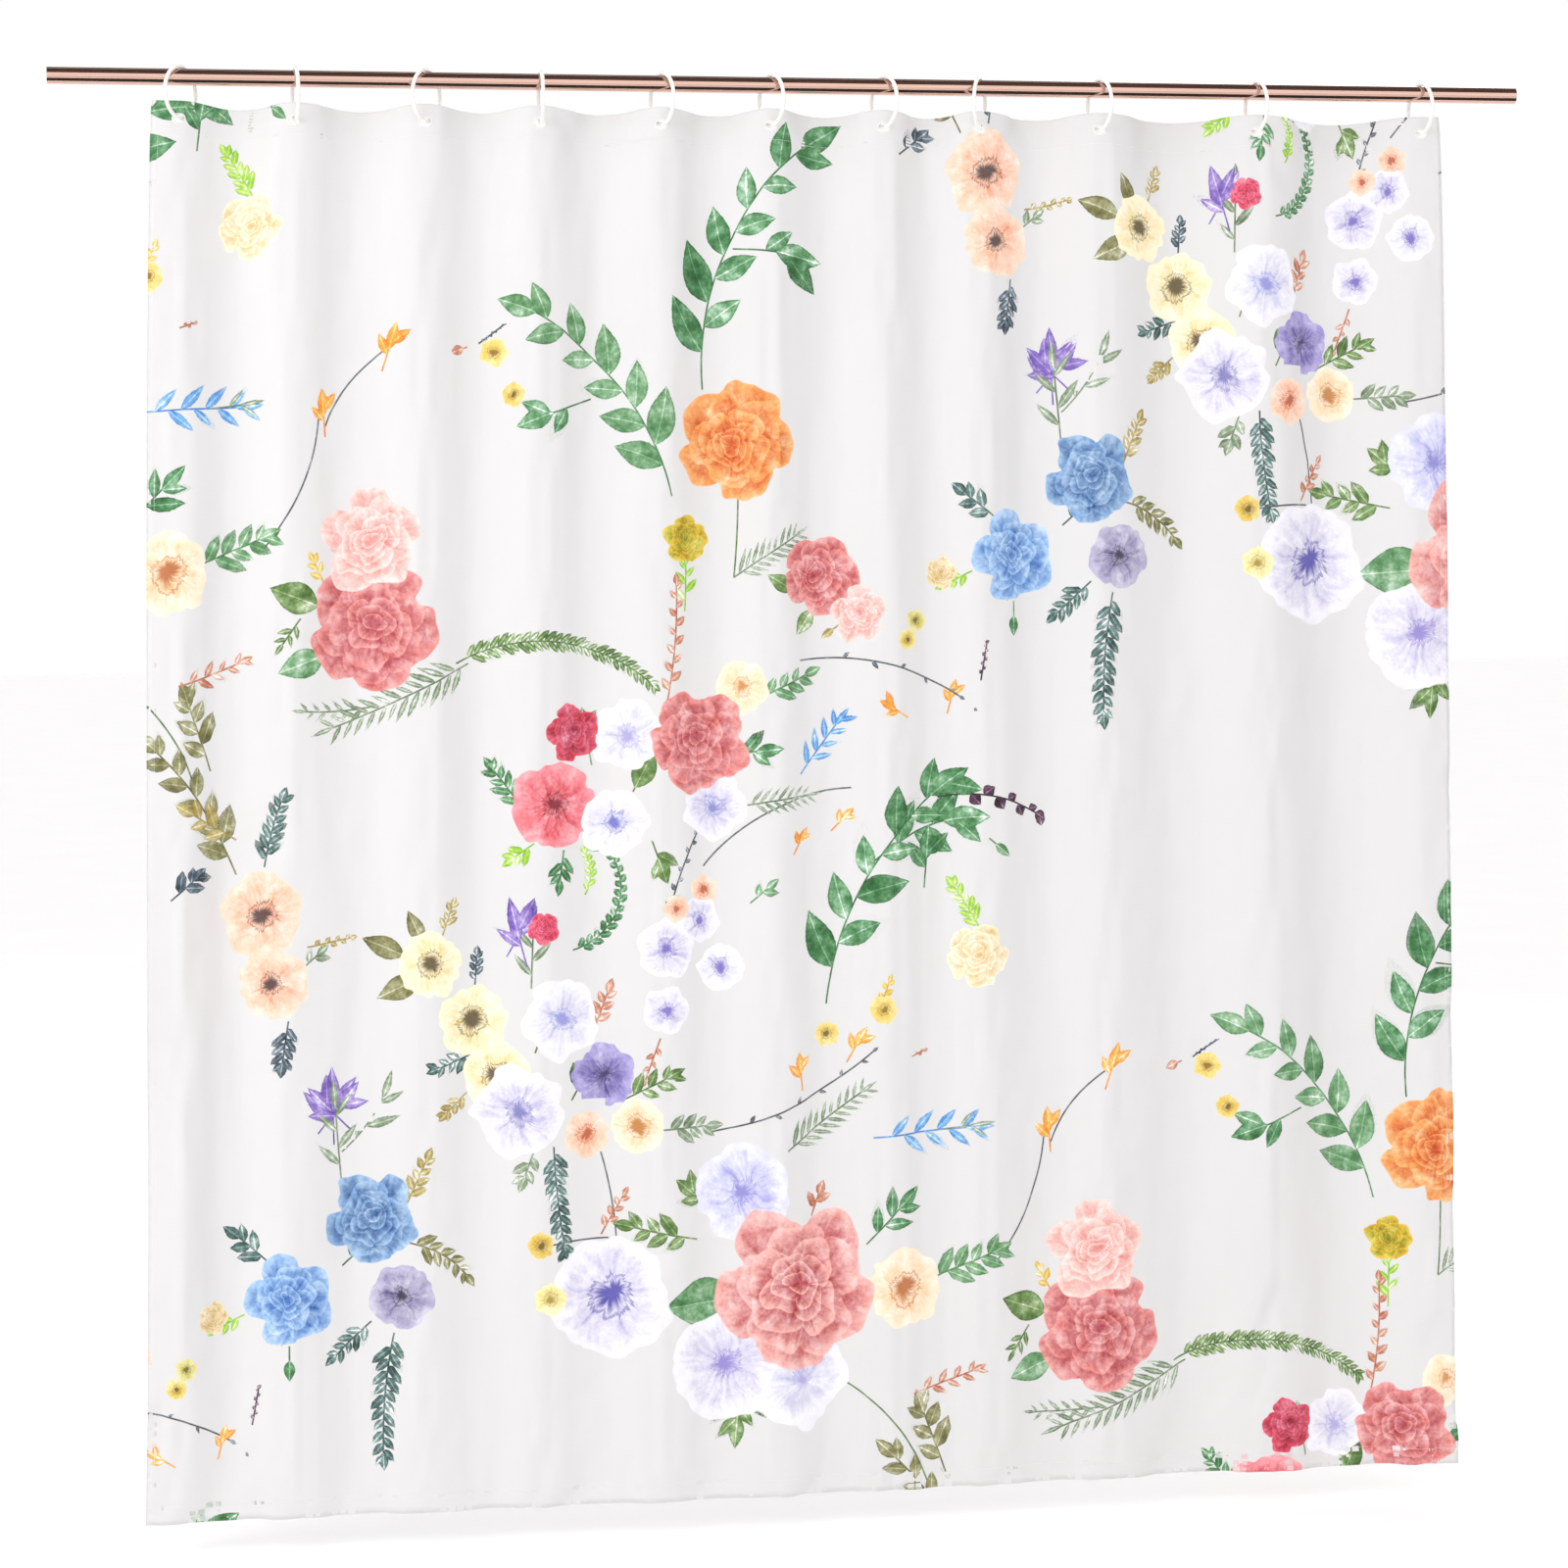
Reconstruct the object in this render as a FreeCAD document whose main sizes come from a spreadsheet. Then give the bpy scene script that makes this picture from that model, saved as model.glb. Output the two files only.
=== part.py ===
"""Shower curtain hung on its rod by eleven snap rings: a FreeCAD 1.1 macro, in millimetres.

+X runs along the rod, to the right of someone who faces the curtain, -Y points at them and
+Z is up. The origin is the middle of the rod's axis. Every size is in the sheet "sizes".
"""

import FreeCAD
import Part
import math
import os

SIZES = {
    "rod_diameter": 21.0,
    "rod_wall": 1.0,
    "left_overhang": 126.0,  # rod showing beyond the curtain's left edge
    "right_overhang": 104.0,
    "ring_radius": 32.5,  # to the middle of the moulded section
    "ring_section": 5.0,
    "ring_clearance": 0.3,  # between the rod and the ring that hangs on it
    "ring_spacing": 164.0,  # from one even place on the rod to the next
    "latch_below": 12.0,  # degrees from the ring's back down to the middle of its latch
    "latch_gap": 7.0,  # degrees that the ring opens at the latch
    "latch_reach": 8.0,  # degrees that the latch's peg goes into its socket
    "latch_peg": 2.6,
    "latch_play": 0.2,  # all round the peg in its socket
    "curtain_drop": 1830.0,
    "cloth_thickness": 0.4,
    "left_margin": 35.0,  # from the curtain's left edge to its first buttonhole
    "right_margin": 26.0,
    "fold_angle": 37.8,  # steepest turn of the folds away from the rod's direction
    "fold_front": 6.0,  # how far the cloth stands in front of the rod's axis at a ring
    "buttonhole_width": 14.0,
    "buttonhole_height": 10.0,
    "buttonhole_slack": 1.3,  # from the ring up to the buttonhole's upper edge
    "buttonhole_border": 2.0,
    "header": 22.0,  # from the middle of a buttonhole up to the curtain's top edge
    "top_hem": 42.0,
    "bottom_hem": 26.0,
    "side_hem": 12.0,
    "layer_gap": 0.1,
    "thread_thickness": 0.3,
    "seam_width": 0.9,
    "seam_inset": 2.5,  # from the turned-in edge of a hem to its seam
}

# Each ring's slip along the rod from its even place, and its turn about the upright axis:
# a positive turn takes the front of the ring to the right.
RINGS = [
    (0.0, -36.0),
    (-15.0, 5.0),
    (-18.0, -36.0),
    (-31.0, 0.0),
    (-36.0, 20.0),
    (-57.0, 20.0),
    (-72.0, 20.0),
    (-114.0, -25.0),
    (-112.0, 15.0),
    (-63.0, 10.0),
    (0.0, 10.0),
]

ROD_LENGTH = (
    f"(sizes.left_overhang + sizes.left_margin + {len(RINGS) - 1} * sizes.ring_spacing"
    " + sizes.right_margin + sizes.right_overhang)"
)
CLOTH_LEFT = f"(sizes.left_overhang - {ROD_LENGTH} / 2)"
CLOTH_RIGHT = f"({ROD_LENGTH} / 2 - sizes.right_overhang)"
RING_Z = "(sizes.rod_diameter / 2 + sizes.ring_clearance + sizes.ring_section / 2 - sizes.ring_radius)"
RING_LOW_Z = f"({RING_Z} - sqrt(sizes.ring_radius ^ 2 - sizes.fold_front ^ 2))"
BUTTONHOLE_Z = (
    f"({RING_LOW_Z} + sizes.ring_section / 2 + sizes.buttonhole_slack - sizes.buttonhole_height / 2)"
)
CLOTH_TOP = f"({BUTTONHOLE_Z} + sizes.header)"
SIDE_HEM_TOP = f"({CLOTH_TOP} - sizes.top_hem - sizes.layer_gap)"
SIDE_HEM_LENGTH = "(sizes.curtain_drop - sizes.top_hem - sizes.bottom_hem - 2 * sizes.layer_gap)"
HEM_BEHIND = "(sizes.cloth_thickness + sizes.layer_gap)"
THREAD_BEHIND = "(0 - sizes.thread_thickness - sizes.layer_gap)"

doc = FreeCAD.newDocument("shower_curtain")
sheet = doc.addObject("Spreadsheet::Sheet", "sizes")


def fill_sheet():
    """Write every size, slip and turn into the sheet, one row each."""
    rows = dict(SIZES)
    for number, (slip, turn) in enumerate(RINGS, start=1):
        rows[f"slip_of_ring_{number:02d}"] = slip
        rows[f"turn_of_ring_{number:02d}"] = turn
    for row, (alias, value) in enumerate(rows.items(), start=1):
        sheet.set(f"A{row}", alias)
        sheet.set(f"B{row}", str(value))
        sheet.setAlias(f"B{row}", alias)
    doc.recompute()


def amount(expression):
    """Return the number that an expression over the sheet comes to."""
    return float(sheet.evalExpression(expression))


def bind(feature, bindings):
    """Bind a feature's properties to expressions over the sheet."""
    for path, expression in bindings.items():
        feature.setExpression(path, expression)
    return feature


def add(kind, name, bindings=None):
    """Add an object to the document with its sizes bound to the sheet."""
    feature = doc.addObject(kind, name)
    feature.Label = name
    return bind(feature, bindings or {})


def buttonhole_x(number):
    """Return where along the rod a ring's buttonhole is."""
    even_place = f"{CLOTH_LEFT} + sizes.left_margin + {number - 1} * sizes.ring_spacing"
    return amount(f"{even_place} + sizes.slip_of_ring_{number:02d}")


# ---------------------------------------------------------------- rod


def make_rod():
    """Make the rod: one plain tube with open ends."""
    along_x = FreeCAD.Rotation(FreeCAD.Vector(0, 1, 0), 90)
    skin = add(
        "Part::Cylinder",
        "rod_outside",
        {"Radius": "sizes.rod_diameter / 2", "Height": ROD_LENGTH},
    )
    bore = add(
        "Part::Cylinder",
        "rod_inside",
        {"Radius": "sizes.rod_diameter / 2 - sizes.rod_wall", "Height": ROD_LENGTH},
    )
    tube = add("Part::Cut", "rod_tube")
    tube.Base = skin
    tube.Tool = bore
    tube.Placement = FreeCAD.Placement(FreeCAD.Vector(0, 0, 0), along_x)
    bind(tube, {"Placement.Base.x": f"-{ROD_LENGTH} / 2"})
    return [tube]


# ---------------------------------------------------------------- snap rings


def ring_arc(name, section, start, sweep):
    """Add a stretch of the ring's round bar, from `start` degrees up from the ring's back."""
    arc = add(
        "Part::Torus",
        name,
        {"Radius1": "sizes.ring_radius", "Radius2": f"({section}) / 2", "Angle3": sweep},
    )
    arc.Placement = FreeCAD.Placement(FreeCAD.Vector(0, 0, 0), FreeCAD.Rotation(FreeCAD.Vector(0, 0, 1), 1))
    return bind(arc, {"Placement.Rotation.Angle": start})


def make_ring(number):
    """Make a snap ring: an open round bar whose peg springs into a socket in its other end."""
    name = f"ring_{number:02d}"
    mouth = "sizes.latch_gap / 2 - sizes.latch_below"
    bar = ring_arc(f"{name}_bar", "sizes.ring_section", mouth, "360 - sizes.latch_gap")
    socket = ring_arc(
        f"{name}_socket",
        "sizes.latch_peg + 2 * sizes.latch_play",
        f"{mouth} - 1",
        "sizes.latch_reach + 2",
    )
    peg = ring_arc(
        f"{name}_peg",
        "sizes.latch_peg",
        f"{mouth} - sizes.latch_gap - 2",
        "sizes.latch_gap + 2 + sizes.latch_reach",
    )
    opened = add("Part::Cut", f"{name}_opened")
    opened.Base = bar
    opened.Tool = socket
    ring = add("Part::Fuse", name)
    ring.Base = opened
    ring.Tool = peg

    turn = amount(f"sizes.turn_of_ring_{number:02d}")
    upright = FreeCAD.Rotation(
        FreeCAD.Vector(0, 1, 0), FreeCAD.Vector(0, 0, 1), FreeCAD.Vector(1, 0, 0), "ZXY"
    )
    turned = FreeCAD.Rotation(FreeCAD.Vector(0, 0, 1), turn).multiply(upright)
    step_aside = amount("sizes.fold_front") * math.tan(math.radians(turn))
    place = FreeCAD.Vector(buttonhole_x(number) - step_aside, 0, 0)
    ring.Placement = FreeCAD.Placement(place, turned)
    bind(ring, {"Placement.Base.z": RING_Z})
    return ring


# ---------------------------------------------------------------- cloth


def fold_line(behind):
    """Return the edges of the hanging cloth seen from above, from left to right.

    Each gap between two buttonholes is one fold: a quarter bend at each ring and a half bend
    at the back between them, all of one radius. `behind` moves the line towards the back.
    """
    turn = math.radians(amount("sizes.fold_angle"))
    front_y = -amount("sizes.fold_front")

    def point_at_ring(hole_x, radius, angle):
        across = radius - behind
        return FreeCAD.Vector(hole_x + across * math.sin(angle), front_y + radius - across * math.cos(angle), 0)

    def point_at_back(middle_x, radius, angle):
        across = radius + behind
        centre_y = front_y + radius - 2 * radius * math.cos(turn)
        return FreeCAD.Vector(middle_x + across * math.sin(angle), centre_y + across * math.cos(angle), 0)

    def bend(point, middle, radius, angles):
        return Part.Arc(*[point(middle, radius, angle) for angle in angles]).toShape()

    holes = [buttonhole_x(number) for number in range(1, len(RINGS) + 1)]
    flat_y = front_y + behind
    edges = [
        Part.makeLine(
            FreeCAD.Vector(amount(CLOTH_LEFT), flat_y, 0), FreeCAD.Vector(holes[0], flat_y, 0)
        )
    ]
    for left, right in zip(holes, holes[1:]):
        radius = (right - left) / (4 * math.sin(turn))
        edges.append(bend(point_at_ring, left, radius, (0, turn / 2, turn)))
        edges.append(bend(point_at_back, (left + right) / 2, radius, (-turn, 0, turn)))
        edges.append(bend(point_at_ring, right, radius, (-turn, -turn / 2, 0)))
    edges.append(
        Part.makeLine(
            FreeCAD.Vector(holes[-1], flat_y, 0), FreeCAD.Vector(amount(CLOTH_RIGHT), flat_y, 0)
        )
    )
    return edges


def folded_layer(behind, thickness, height):
    """Return a layer of cloth or thread that follows the folds, hanging down from z = 0."""
    front = fold_line(behind)
    back = fold_line(behind + thickness)
    left_end = Part.makeLine(front[0].Vertexes[0].Point, back[0].Vertexes[0].Point)
    right_end = Part.makeLine(front[-1].Vertexes[-1].Point, back[-1].Vertexes[-1].Point)
    outline = Part.Wire(Part.__sortEdges__(front + back + [left_end, right_end]))
    return Part.Face(outline).extrude(FreeCAD.Vector(0, 0, -height))


def slot_prism(hole_x, middle_z, width, height):
    """Return a bar with a round-ended section that runs through every layer of the cloth."""
    reach = amount("sizes.fold_front") + amount("sizes.ring_radius")
    end_radius = height / 2
    half_straight = width / 2 - end_radius

    def corner(side_x, side_z):
        return FreeCAD.Vector(hole_x + side_x, -reach, middle_z + side_z)

    right_arc = Part.Arc(
        corner(half_straight, end_radius), corner(width / 2, 0), corner(half_straight, -end_radius)
    )
    left_arc = Part.Arc(
        corner(-half_straight, -end_radius), corner(-width / 2, 0), corner(-half_straight, end_radius)
    )
    top = Part.makeLine(corner(-half_straight, end_radius), corner(half_straight, end_radius))
    bottom = Part.makeLine(corner(half_straight, -end_radius), corner(-half_straight, -end_radius))
    outline = Part.Wire([top, right_arc.toShape(), bottom, left_arc.toShape()])
    return Part.Face(outline).extrude(FreeCAD.Vector(0, 2 * reach, 0))


def buttonhole_prism(number, top_z, border):
    """Return the bar that cuts a buttonhole, `border` wider all round, below a layer's top."""
    return slot_prism(
        buttonhole_x(number),
        amount(BUTTONHOLE_Z) - top_z,
        amount("sizes.buttonhole_width") + 2 * border,
        amount("sizes.buttonhole_height") + 2 * border,
    )


def add_layer(name, behind, thickness, top, height, pierced):
    """Add a folded layer as a sub-part, with the buttonholes cut through it if it is pierced."""
    shape = folded_layer(amount(behind), amount(thickness), amount(height))
    if pierced:
        numbers = range(1, len(RINGS) + 1)
        shape = shape.cut([buttonhole_prism(number, amount(top), 0) for number in numbers])
    layer = add("Part::Feature", name)
    layer.Shape = shape.Solids[0]
    layer.Placement = FreeCAD.Placement(FreeCAD.Vector(0, 0, amount(top)), FreeCAD.Rotation())
    return layer


def add_strip(name, width, thickness, left, behind):
    """Add an upright strip of cloth or thread along one of the curtain's flat side margins."""
    strip = add(
        "Part::Box",
        name,
        {
            "Length": width,
            "Width": thickness,
            "Height": SIDE_HEM_LENGTH,
            "Placement.Base.x": left,
            "Placement.Base.y": f"{behind} - sizes.fold_front",
            "Placement.Base.z": f"{SIDE_HEM_TOP} - {SIDE_HEM_LENGTH}",
        },
    )
    return strip


def make_cloth():
    """Make the printed panel and its four turned hems."""
    thickness = "sizes.cloth_thickness"
    bottom_hem_top = f"{CLOTH_TOP} - sizes.curtain_drop + sizes.bottom_hem"
    return [
        add_layer("curtain_panel", "0", thickness, CLOTH_TOP, "sizes.curtain_drop", True),
        add_layer("top_hem", HEM_BEHIND, thickness, CLOTH_TOP, "sizes.top_hem", True),
        add_layer("bottom_hem", HEM_BEHIND, thickness, bottom_hem_top, "sizes.bottom_hem", False),
        add_strip("left_hem", "sizes.side_hem", thickness, CLOTH_LEFT, HEM_BEHIND),
        add_strip("right_hem", "sizes.side_hem", thickness, f"{CLOTH_RIGHT} - sizes.side_hem", HEM_BEHIND),
    ]


def make_seams():
    """Make the four rows of thread that hold the hems, on the front of the cloth."""
    thread = "sizes.thread_thickness"
    width = "sizes.seam_width"
    top_seam_top = f"{CLOTH_TOP} - sizes.top_hem + sizes.seam_inset + {width}"
    bottom_seam_top = f"{CLOTH_TOP} - sizes.curtain_drop + sizes.bottom_hem - sizes.seam_inset"
    left_seam_left = f"{CLOTH_LEFT} + sizes.side_hem - sizes.seam_inset - {width}"
    right_seam_left = f"{CLOTH_RIGHT} - sizes.side_hem + sizes.seam_inset"
    return [
        add_layer("top_hem_seam", THREAD_BEHIND, thread, top_seam_top, width, False),
        add_layer("bottom_hem_seam", THREAD_BEHIND, thread, bottom_seam_top, width, False),
        add_strip("left_hem_seam", width, thread, left_seam_left, THREAD_BEHIND),
        add_strip("right_hem_seam", width, thread, right_seam_left, THREAD_BEHIND),
    ]


def make_buttonhole_stitching():
    """Make the raised thread border round each buttonhole."""
    border = amount("sizes.buttonhole_border")
    band_height = amount("sizes.buttonhole_height") + 4 * border
    band_top = amount(BUTTONHOLE_Z) + band_height / 2
    band = folded_layer(amount(THREAD_BEHIND), amount("sizes.thread_thickness"), band_height)
    borders = []
    for number in range(1, len(RINGS) + 1):
        outside = buttonhole_prism(number, band_top, border)
        inside = buttonhole_prism(number, band_top, 0)
        stitching = add("Part::Feature", f"buttonhole_stitching_{number:02d}")
        stitching.Shape = band.common(outside.cut(inside)).Solids[0]
        stitching.Placement = FreeCAD.Placement(FreeCAD.Vector(0, 0, band_top), FreeCAD.Rotation())
        borders.append(stitching)
    return borders


# ---------------------------------------------------------------- checks and files


def check(subparts):
    """Stop unless every object recomputed and every sub-part is one valid solid."""
    for feature in doc.Objects:
        if "Invalid" in feature.State or "Error" in feature.State:
            raise RuntimeError(f"{feature.Label} did not recompute: {feature.State}")
    for subpart in subparts:
        shape = subpart.Shape
        if shape.isNull() or not shape.isValid() or len(shape.Solids) != 1:
            raise RuntimeError(f"{subpart.Label} is not one valid solid")


def main():
    fill_sheet()
    subparts = make_rod()
    subparts += [make_ring(number) for number in range(1, len(RINGS) + 1)]
    subparts += make_cloth()
    subparts += make_seams()
    subparts += make_buttonhole_stitching()
    doc.recompute()
    check(subparts)
    os.makedirs("parts", exist_ok=True)
    for subpart in subparts:
        subpart.Shape.exportStep(f"parts/{subpart.Label}.step")


main()
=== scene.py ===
"""A floral fabric shower curtain hung by eleven moulded rings from a rose-gold plated rod.

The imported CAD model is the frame: the rod and the rings are its own meshes in better finishes, and the
cloth, its hems, seams and worked buttonholes are made here over it. Lengths are metres, and the flat
cloth is laid out in millimetres from its top left corner, u to the right and v down.
"""
import logging
import math
from collections.abc import Callable, Iterable, Sequence
from dataclasses import dataclass, field
from enum import Enum
from functools import cache

import bpy
import numpy as np
from mathutils import Euler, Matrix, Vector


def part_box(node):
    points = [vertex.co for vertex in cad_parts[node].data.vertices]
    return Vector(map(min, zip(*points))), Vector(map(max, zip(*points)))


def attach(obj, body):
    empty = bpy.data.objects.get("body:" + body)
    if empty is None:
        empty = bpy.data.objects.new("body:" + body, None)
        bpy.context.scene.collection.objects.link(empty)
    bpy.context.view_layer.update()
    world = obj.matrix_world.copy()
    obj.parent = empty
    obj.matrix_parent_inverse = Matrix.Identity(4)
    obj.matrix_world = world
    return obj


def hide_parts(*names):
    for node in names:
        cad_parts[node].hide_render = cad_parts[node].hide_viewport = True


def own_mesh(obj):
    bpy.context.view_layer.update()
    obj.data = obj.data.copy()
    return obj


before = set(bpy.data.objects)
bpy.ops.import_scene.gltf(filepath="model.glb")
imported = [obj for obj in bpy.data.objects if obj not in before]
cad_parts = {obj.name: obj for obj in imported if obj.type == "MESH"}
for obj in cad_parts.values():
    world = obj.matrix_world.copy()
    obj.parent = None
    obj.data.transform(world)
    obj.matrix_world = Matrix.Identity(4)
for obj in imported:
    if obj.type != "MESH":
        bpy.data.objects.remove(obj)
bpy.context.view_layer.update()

logging.basicConfig(level=logging.INFO, format="%(message)s")
LOG = logging.getLogger("curtain")
MM = 0.001
RINGS = tuple(f"ring_{i:02d}" for i in range(1, 12))
HUNG = "hung_curtain"
Folded = tuple[np.ndarray, np.ndarray, np.ndarray]  # place over the cloth, height, place on the print


# ---------------------------------------------------------------- small helpers


def linear(code: str, alpha: float = 1.0) -> tuple[float, float, float, float]:
    """Turn an sRGB hex colour to linear.

    Args:
        code: Colour as "#rrggbb".
        alpha: Fourth value.

    Returns:
        Linear red, green, blue and alpha.
    """
    parts = [int(code[i:i + 2], 16) / 255 for i in (1, 3, 5)]
    rgb = [p / 12.92 if p <= 0.04045 else ((p + 0.055) / 1.055) ** 2.4 for p in parts]
    return rgb[0], rgb[1], rgb[2], alpha


def smooth_step(x: np.ndarray) -> np.ndarray:
    """Ease from 0 to 1.

    Args:
        x: Places, eased between 0 and 1.

    Returns:
        The eased values.
    """
    x = np.clip(x, 0.0, 1.0)
    return x * x * (3 - 2 * x)


@dataclass
class Recipe:
    """A node tree while it is being written: a material's, or a shared group's where it has sockets."""

    name: str
    sockets: dict[str, str] = field(default_factory=dict)
    material: bpy.types.Material | None = field(init=False, default=None)
    tree: bpy.types.NodeTree = field(init=False)

    def __post_init__(self) -> None:
        """Start with an empty tree."""
        if self.sockets:
            self.tree = bpy.data.node_groups.new(self.name, "ShaderNodeTree")
            for name, kind in self.sockets.items():
                self.tree.interface.new_socket(name, in_out="INPUT", socket_type="NodeSocket" + kind)
            self.tree.interface.new_socket("Colour", in_out="OUTPUT", socket_type="NodeSocketColor")
            return
        self.material = bpy.data.materials.new(self.name)
        self.material.use_nodes = True
        self.tree = self.material.node_tree
        self.tree.nodes.clear()

    def add(self, kind: str, *values: object, out: int | str = 0, **settings: object) -> bpy.types.NodeSocket:
        """Add a node with its settings and links.

        Args:
            kind: Node type, without its prefix for a shader node; a word after it is the operation.
            *values: One value or socket per input in order; None leaves an input alone.
            out: Which output to hand back.
            **settings: Node properties, or inputs by name where the node has no such property.

        Returns:
            The output socket asked for.
        """
        word = kind.split()
        node = self.tree.nodes.new(word[0] if word[0].startswith("Node") else "ShaderNode" + word[0])
        if len(word) > 1:
            node.operation = word[1]
        for key, value in settings.items():
            if hasattr(node, key):
                setattr(node, key, value)
        slots = [(s, v) for s, v in zip(node.inputs, values) if v is not None]
        slots += [(node.inputs[k], v) for k, v in settings.items() if not hasattr(node, k)]
        for slot, value in slots:
            if isinstance(value, bpy.types.NodeSocket):
                self.tree.links.new(value, slot)
            else:
                slot.default_value = value
        return node.outputs[out] if node.outputs else node.inputs[0]


# ---------------------------------------------------------------- finishes


class RoseGoldPlate:
    """Rose-gold plated steel tube, buffed bright: mirror-like, with faint lengthwise polishing lines."""

    BASE = "#d8b3a4"
    ROUGHNESS = 0.08
    LINE_MM = 1.2  # real polishing lines are finer than 0.1 mm; drawn coarser so that they show

    def make(self) -> bpy.types.Material:
        """Write the material.

        Returns:
            The material.
        """
        r = Recipe("rose_gold_plated_steel_buffed")
        place = r.add("TexCoord", out="Object")
        lines = r.add("Mapping", place, Scale=(2.0, 1 / (self.LINE_MM * MM), 1 / (self.LINE_MM * MM)))
        streak = r.add("TexNoise", lines, Scale=1.0, Detail=3.0, Roughness=0.6, out="Fac")
        smear = r.add("TexNoise", place, Scale=9.0, Detail=4.0, out="Fac")
        gloss = r.add("MapRange", r.add("Math ADD", streak, smear), 0.6, 1.5, self.ROUGHNESS - 0.03,
                      self.ROUGHNESS + 0.05)
        tone = r.add("MapRange", smear, 0.3, 0.7, 0.94, 1.0)
        base = r.add("VectorMath SCALE", linear(self.BASE)[:3], Scale=tone)
        bump = r.add("Bump", Strength=0.04, Distance=0.0002, Height=streak)
        skin = r.add("BsdfPrincipled", base, Metallic=1.0, Roughness=gloss, Normal=bump)
        r.add("OutputMaterial", skin)
        return r.material


class MouldedPlastic:
    """White injection-moulded plastic: glossy skin with a very slight ripple and soft depth."""

    BASE = "#f5f4f1"
    RIPPLE_MM = 7.0

    def make(self) -> bpy.types.Material:
        """Write the material.

        Returns:
            The material.
        """
        r = Recipe("white_abs_moulded")
        place = r.add("TexCoord", out="Object")
        ripple = r.add("TexNoise", place, Scale=1 / (self.RIPPLE_MM * MM), Detail=2.0, out="Fac")
        fine = r.add("TexNoise", place, Scale=1 / (0.8 * MM), Detail=2.0, out="Fac")
        tone = r.add("MapRange", ripple, 0.3, 0.7, 0.965, 1.0)
        base = r.add("VectorMath SCALE", linear(self.BASE)[:3], Scale=tone)
        gloss = r.add("MapRange", fine, 0.3, 0.7, 0.24, 0.34)
        bump = r.add("Bump", Strength=0.06, Distance=0.0004, Height=ripple)
        skin = r.add("BsdfPrincipled", base, Roughness=gloss, IOR=1.5, Normal=bump)
        skin.node.inputs["Subsurface Weight"].default_value = 0.08
        skin.node.inputs["Subsurface Scale"].default_value = 0.002
        r.add("OutputMaterial", skin)
        return r.material


class SpunThread:
    """White spun polyester sewing thread: two twisted plies, soft sheen."""

    BASE = "#f4f2ee"
    TWIST_MM = 0.7  # real twist is about 0.3 mm; drawn coarser so that it shows

    def make(self) -> bpy.types.Material:
        """Write the material.

        Returns:
            The material.
        """
        r = Recipe("white_polyester_thread_twisted")
        place = r.add("TexCoord", out="Object")
        twist = r.add("TexNoise", place, Scale=1 / (self.TWIST_MM * MM), Detail=2.0, out="Fac")
        tone = r.add("MapRange", twist, 0.3, 0.7, 0.88, 1.0)
        base = r.add("VectorMath SCALE", linear(self.BASE)[:3], Scale=tone)
        bump = r.add("Bump", Strength=0.4, Distance=0.0002, Height=twist)
        skin = r.add("BsdfPrincipled", base, Roughness=0.62, Normal=bump)
        skin.node.inputs["Sheen Weight"].default_value = 0.3
        r.add("OutputMaterial", skin)
        return r.material


class Polyester:
    """Woven polyester, heat-transfer printed on the front: smooth, matt, with a little sheen."""

    GROUND = "#dfdede"
    THREAD_MM = 0.503  # real thread spacing is about 0.35 mm; drawn coarser so that it shows
    WAVE_PERIOD = 2 * math.pi / 20  # width of one band of a wave texture at scale 1

    def make(self, name: str, ink: float) -> bpy.types.Material:
        """Write the material.

        Args:
            name: Material name.
            ink: How much of the print shows, 1 on the front and little on the wrong side.

        Returns:
            The material.
        """
        r = Recipe(name)
        flat = r.add("Attribute", attribute_name="flat_mm", out="Vector")
        ground = linear(self.GROUND)
        colours = [ground] + [r.add("MixRGB", ink, ground, printed)
                              for printed in FlowerPrint.ink(r, flat, ground)]
        rows = [r.add("TexWave", flat, Scale=self.WAVE_PERIOD / self.THREAD_MM, bands_direction=d,
                      Distortion=0.4, out="Fac") for d in ("X", "Y")]
        weave = r.add("Math MULTIPLY", rows[0], rows[1])
        drawn_out = r.add("VectorMath MULTIPLY", flat, (0.02, 0.6, 1.0))
        slub = r.add("TexNoise", drawn_out, Scale=1.0, Detail=2.0, out="Fac")
        height = r.add("Math MULTIPLY_ADD", slub, 0.6, weave)
        bump = r.add("Bump", Strength=0.12, Distance=0.0004, Height=height)
        gloss = r.add("MapRange", slub, 0.3, 0.7, 0.72, 0.84)
        skins = []
        for colour in colours:
            skin = r.add("BsdfPrincipled", colour, Roughness=gloss, Normal=bump)
            skin.node.inputs["Sheen Weight"].default_value = 0.12
            skin.node.inputs["Sheen Roughness"].default_value = 0.5
            skins.append(skin)
        # the same cloth bare, with leaves, and with flowers, so that bare cloth is quick to draw
        kind = r.add("Attribute", attribute_name="printed", out="Fac")
        inked = r.add("MixShader", r.add("Math GREATER_THAN", kind, 1.5), skins[1], skins[2])
        r.add("OutputMaterial", r.add("MixShader", r.add("Math GREATER_THAN", kind, 0.5), skins[0], inked))
        return r.material


# ---------------------------------------------------------------- the printed pattern


class Ink(Enum):
    """The printed colours: each is thinned or pooled by the wash that it is laid in."""

    GREEN = "#6a9a6b"
    DEEP_GREEN = "#4d8654"
    MOSS = "#6a8a4c"
    SAGE = "#8a9c80"
    OLIVE = "#868456"
    KHAKI = "#b3a262"
    TEAL = "#4d6b66"
    SLATE = "#4b5c68"
    LIME = "#a2cf48"
    SKY = "#6aa5dd"
    AMBER = "#f0a640"
    GOLD = "#e3c255"
    RUST = "#c98a70"
    VIOLET = "#8a70bf"
    PLUM = "#4c2a42"
    TWIG = "#6b7078"


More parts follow.
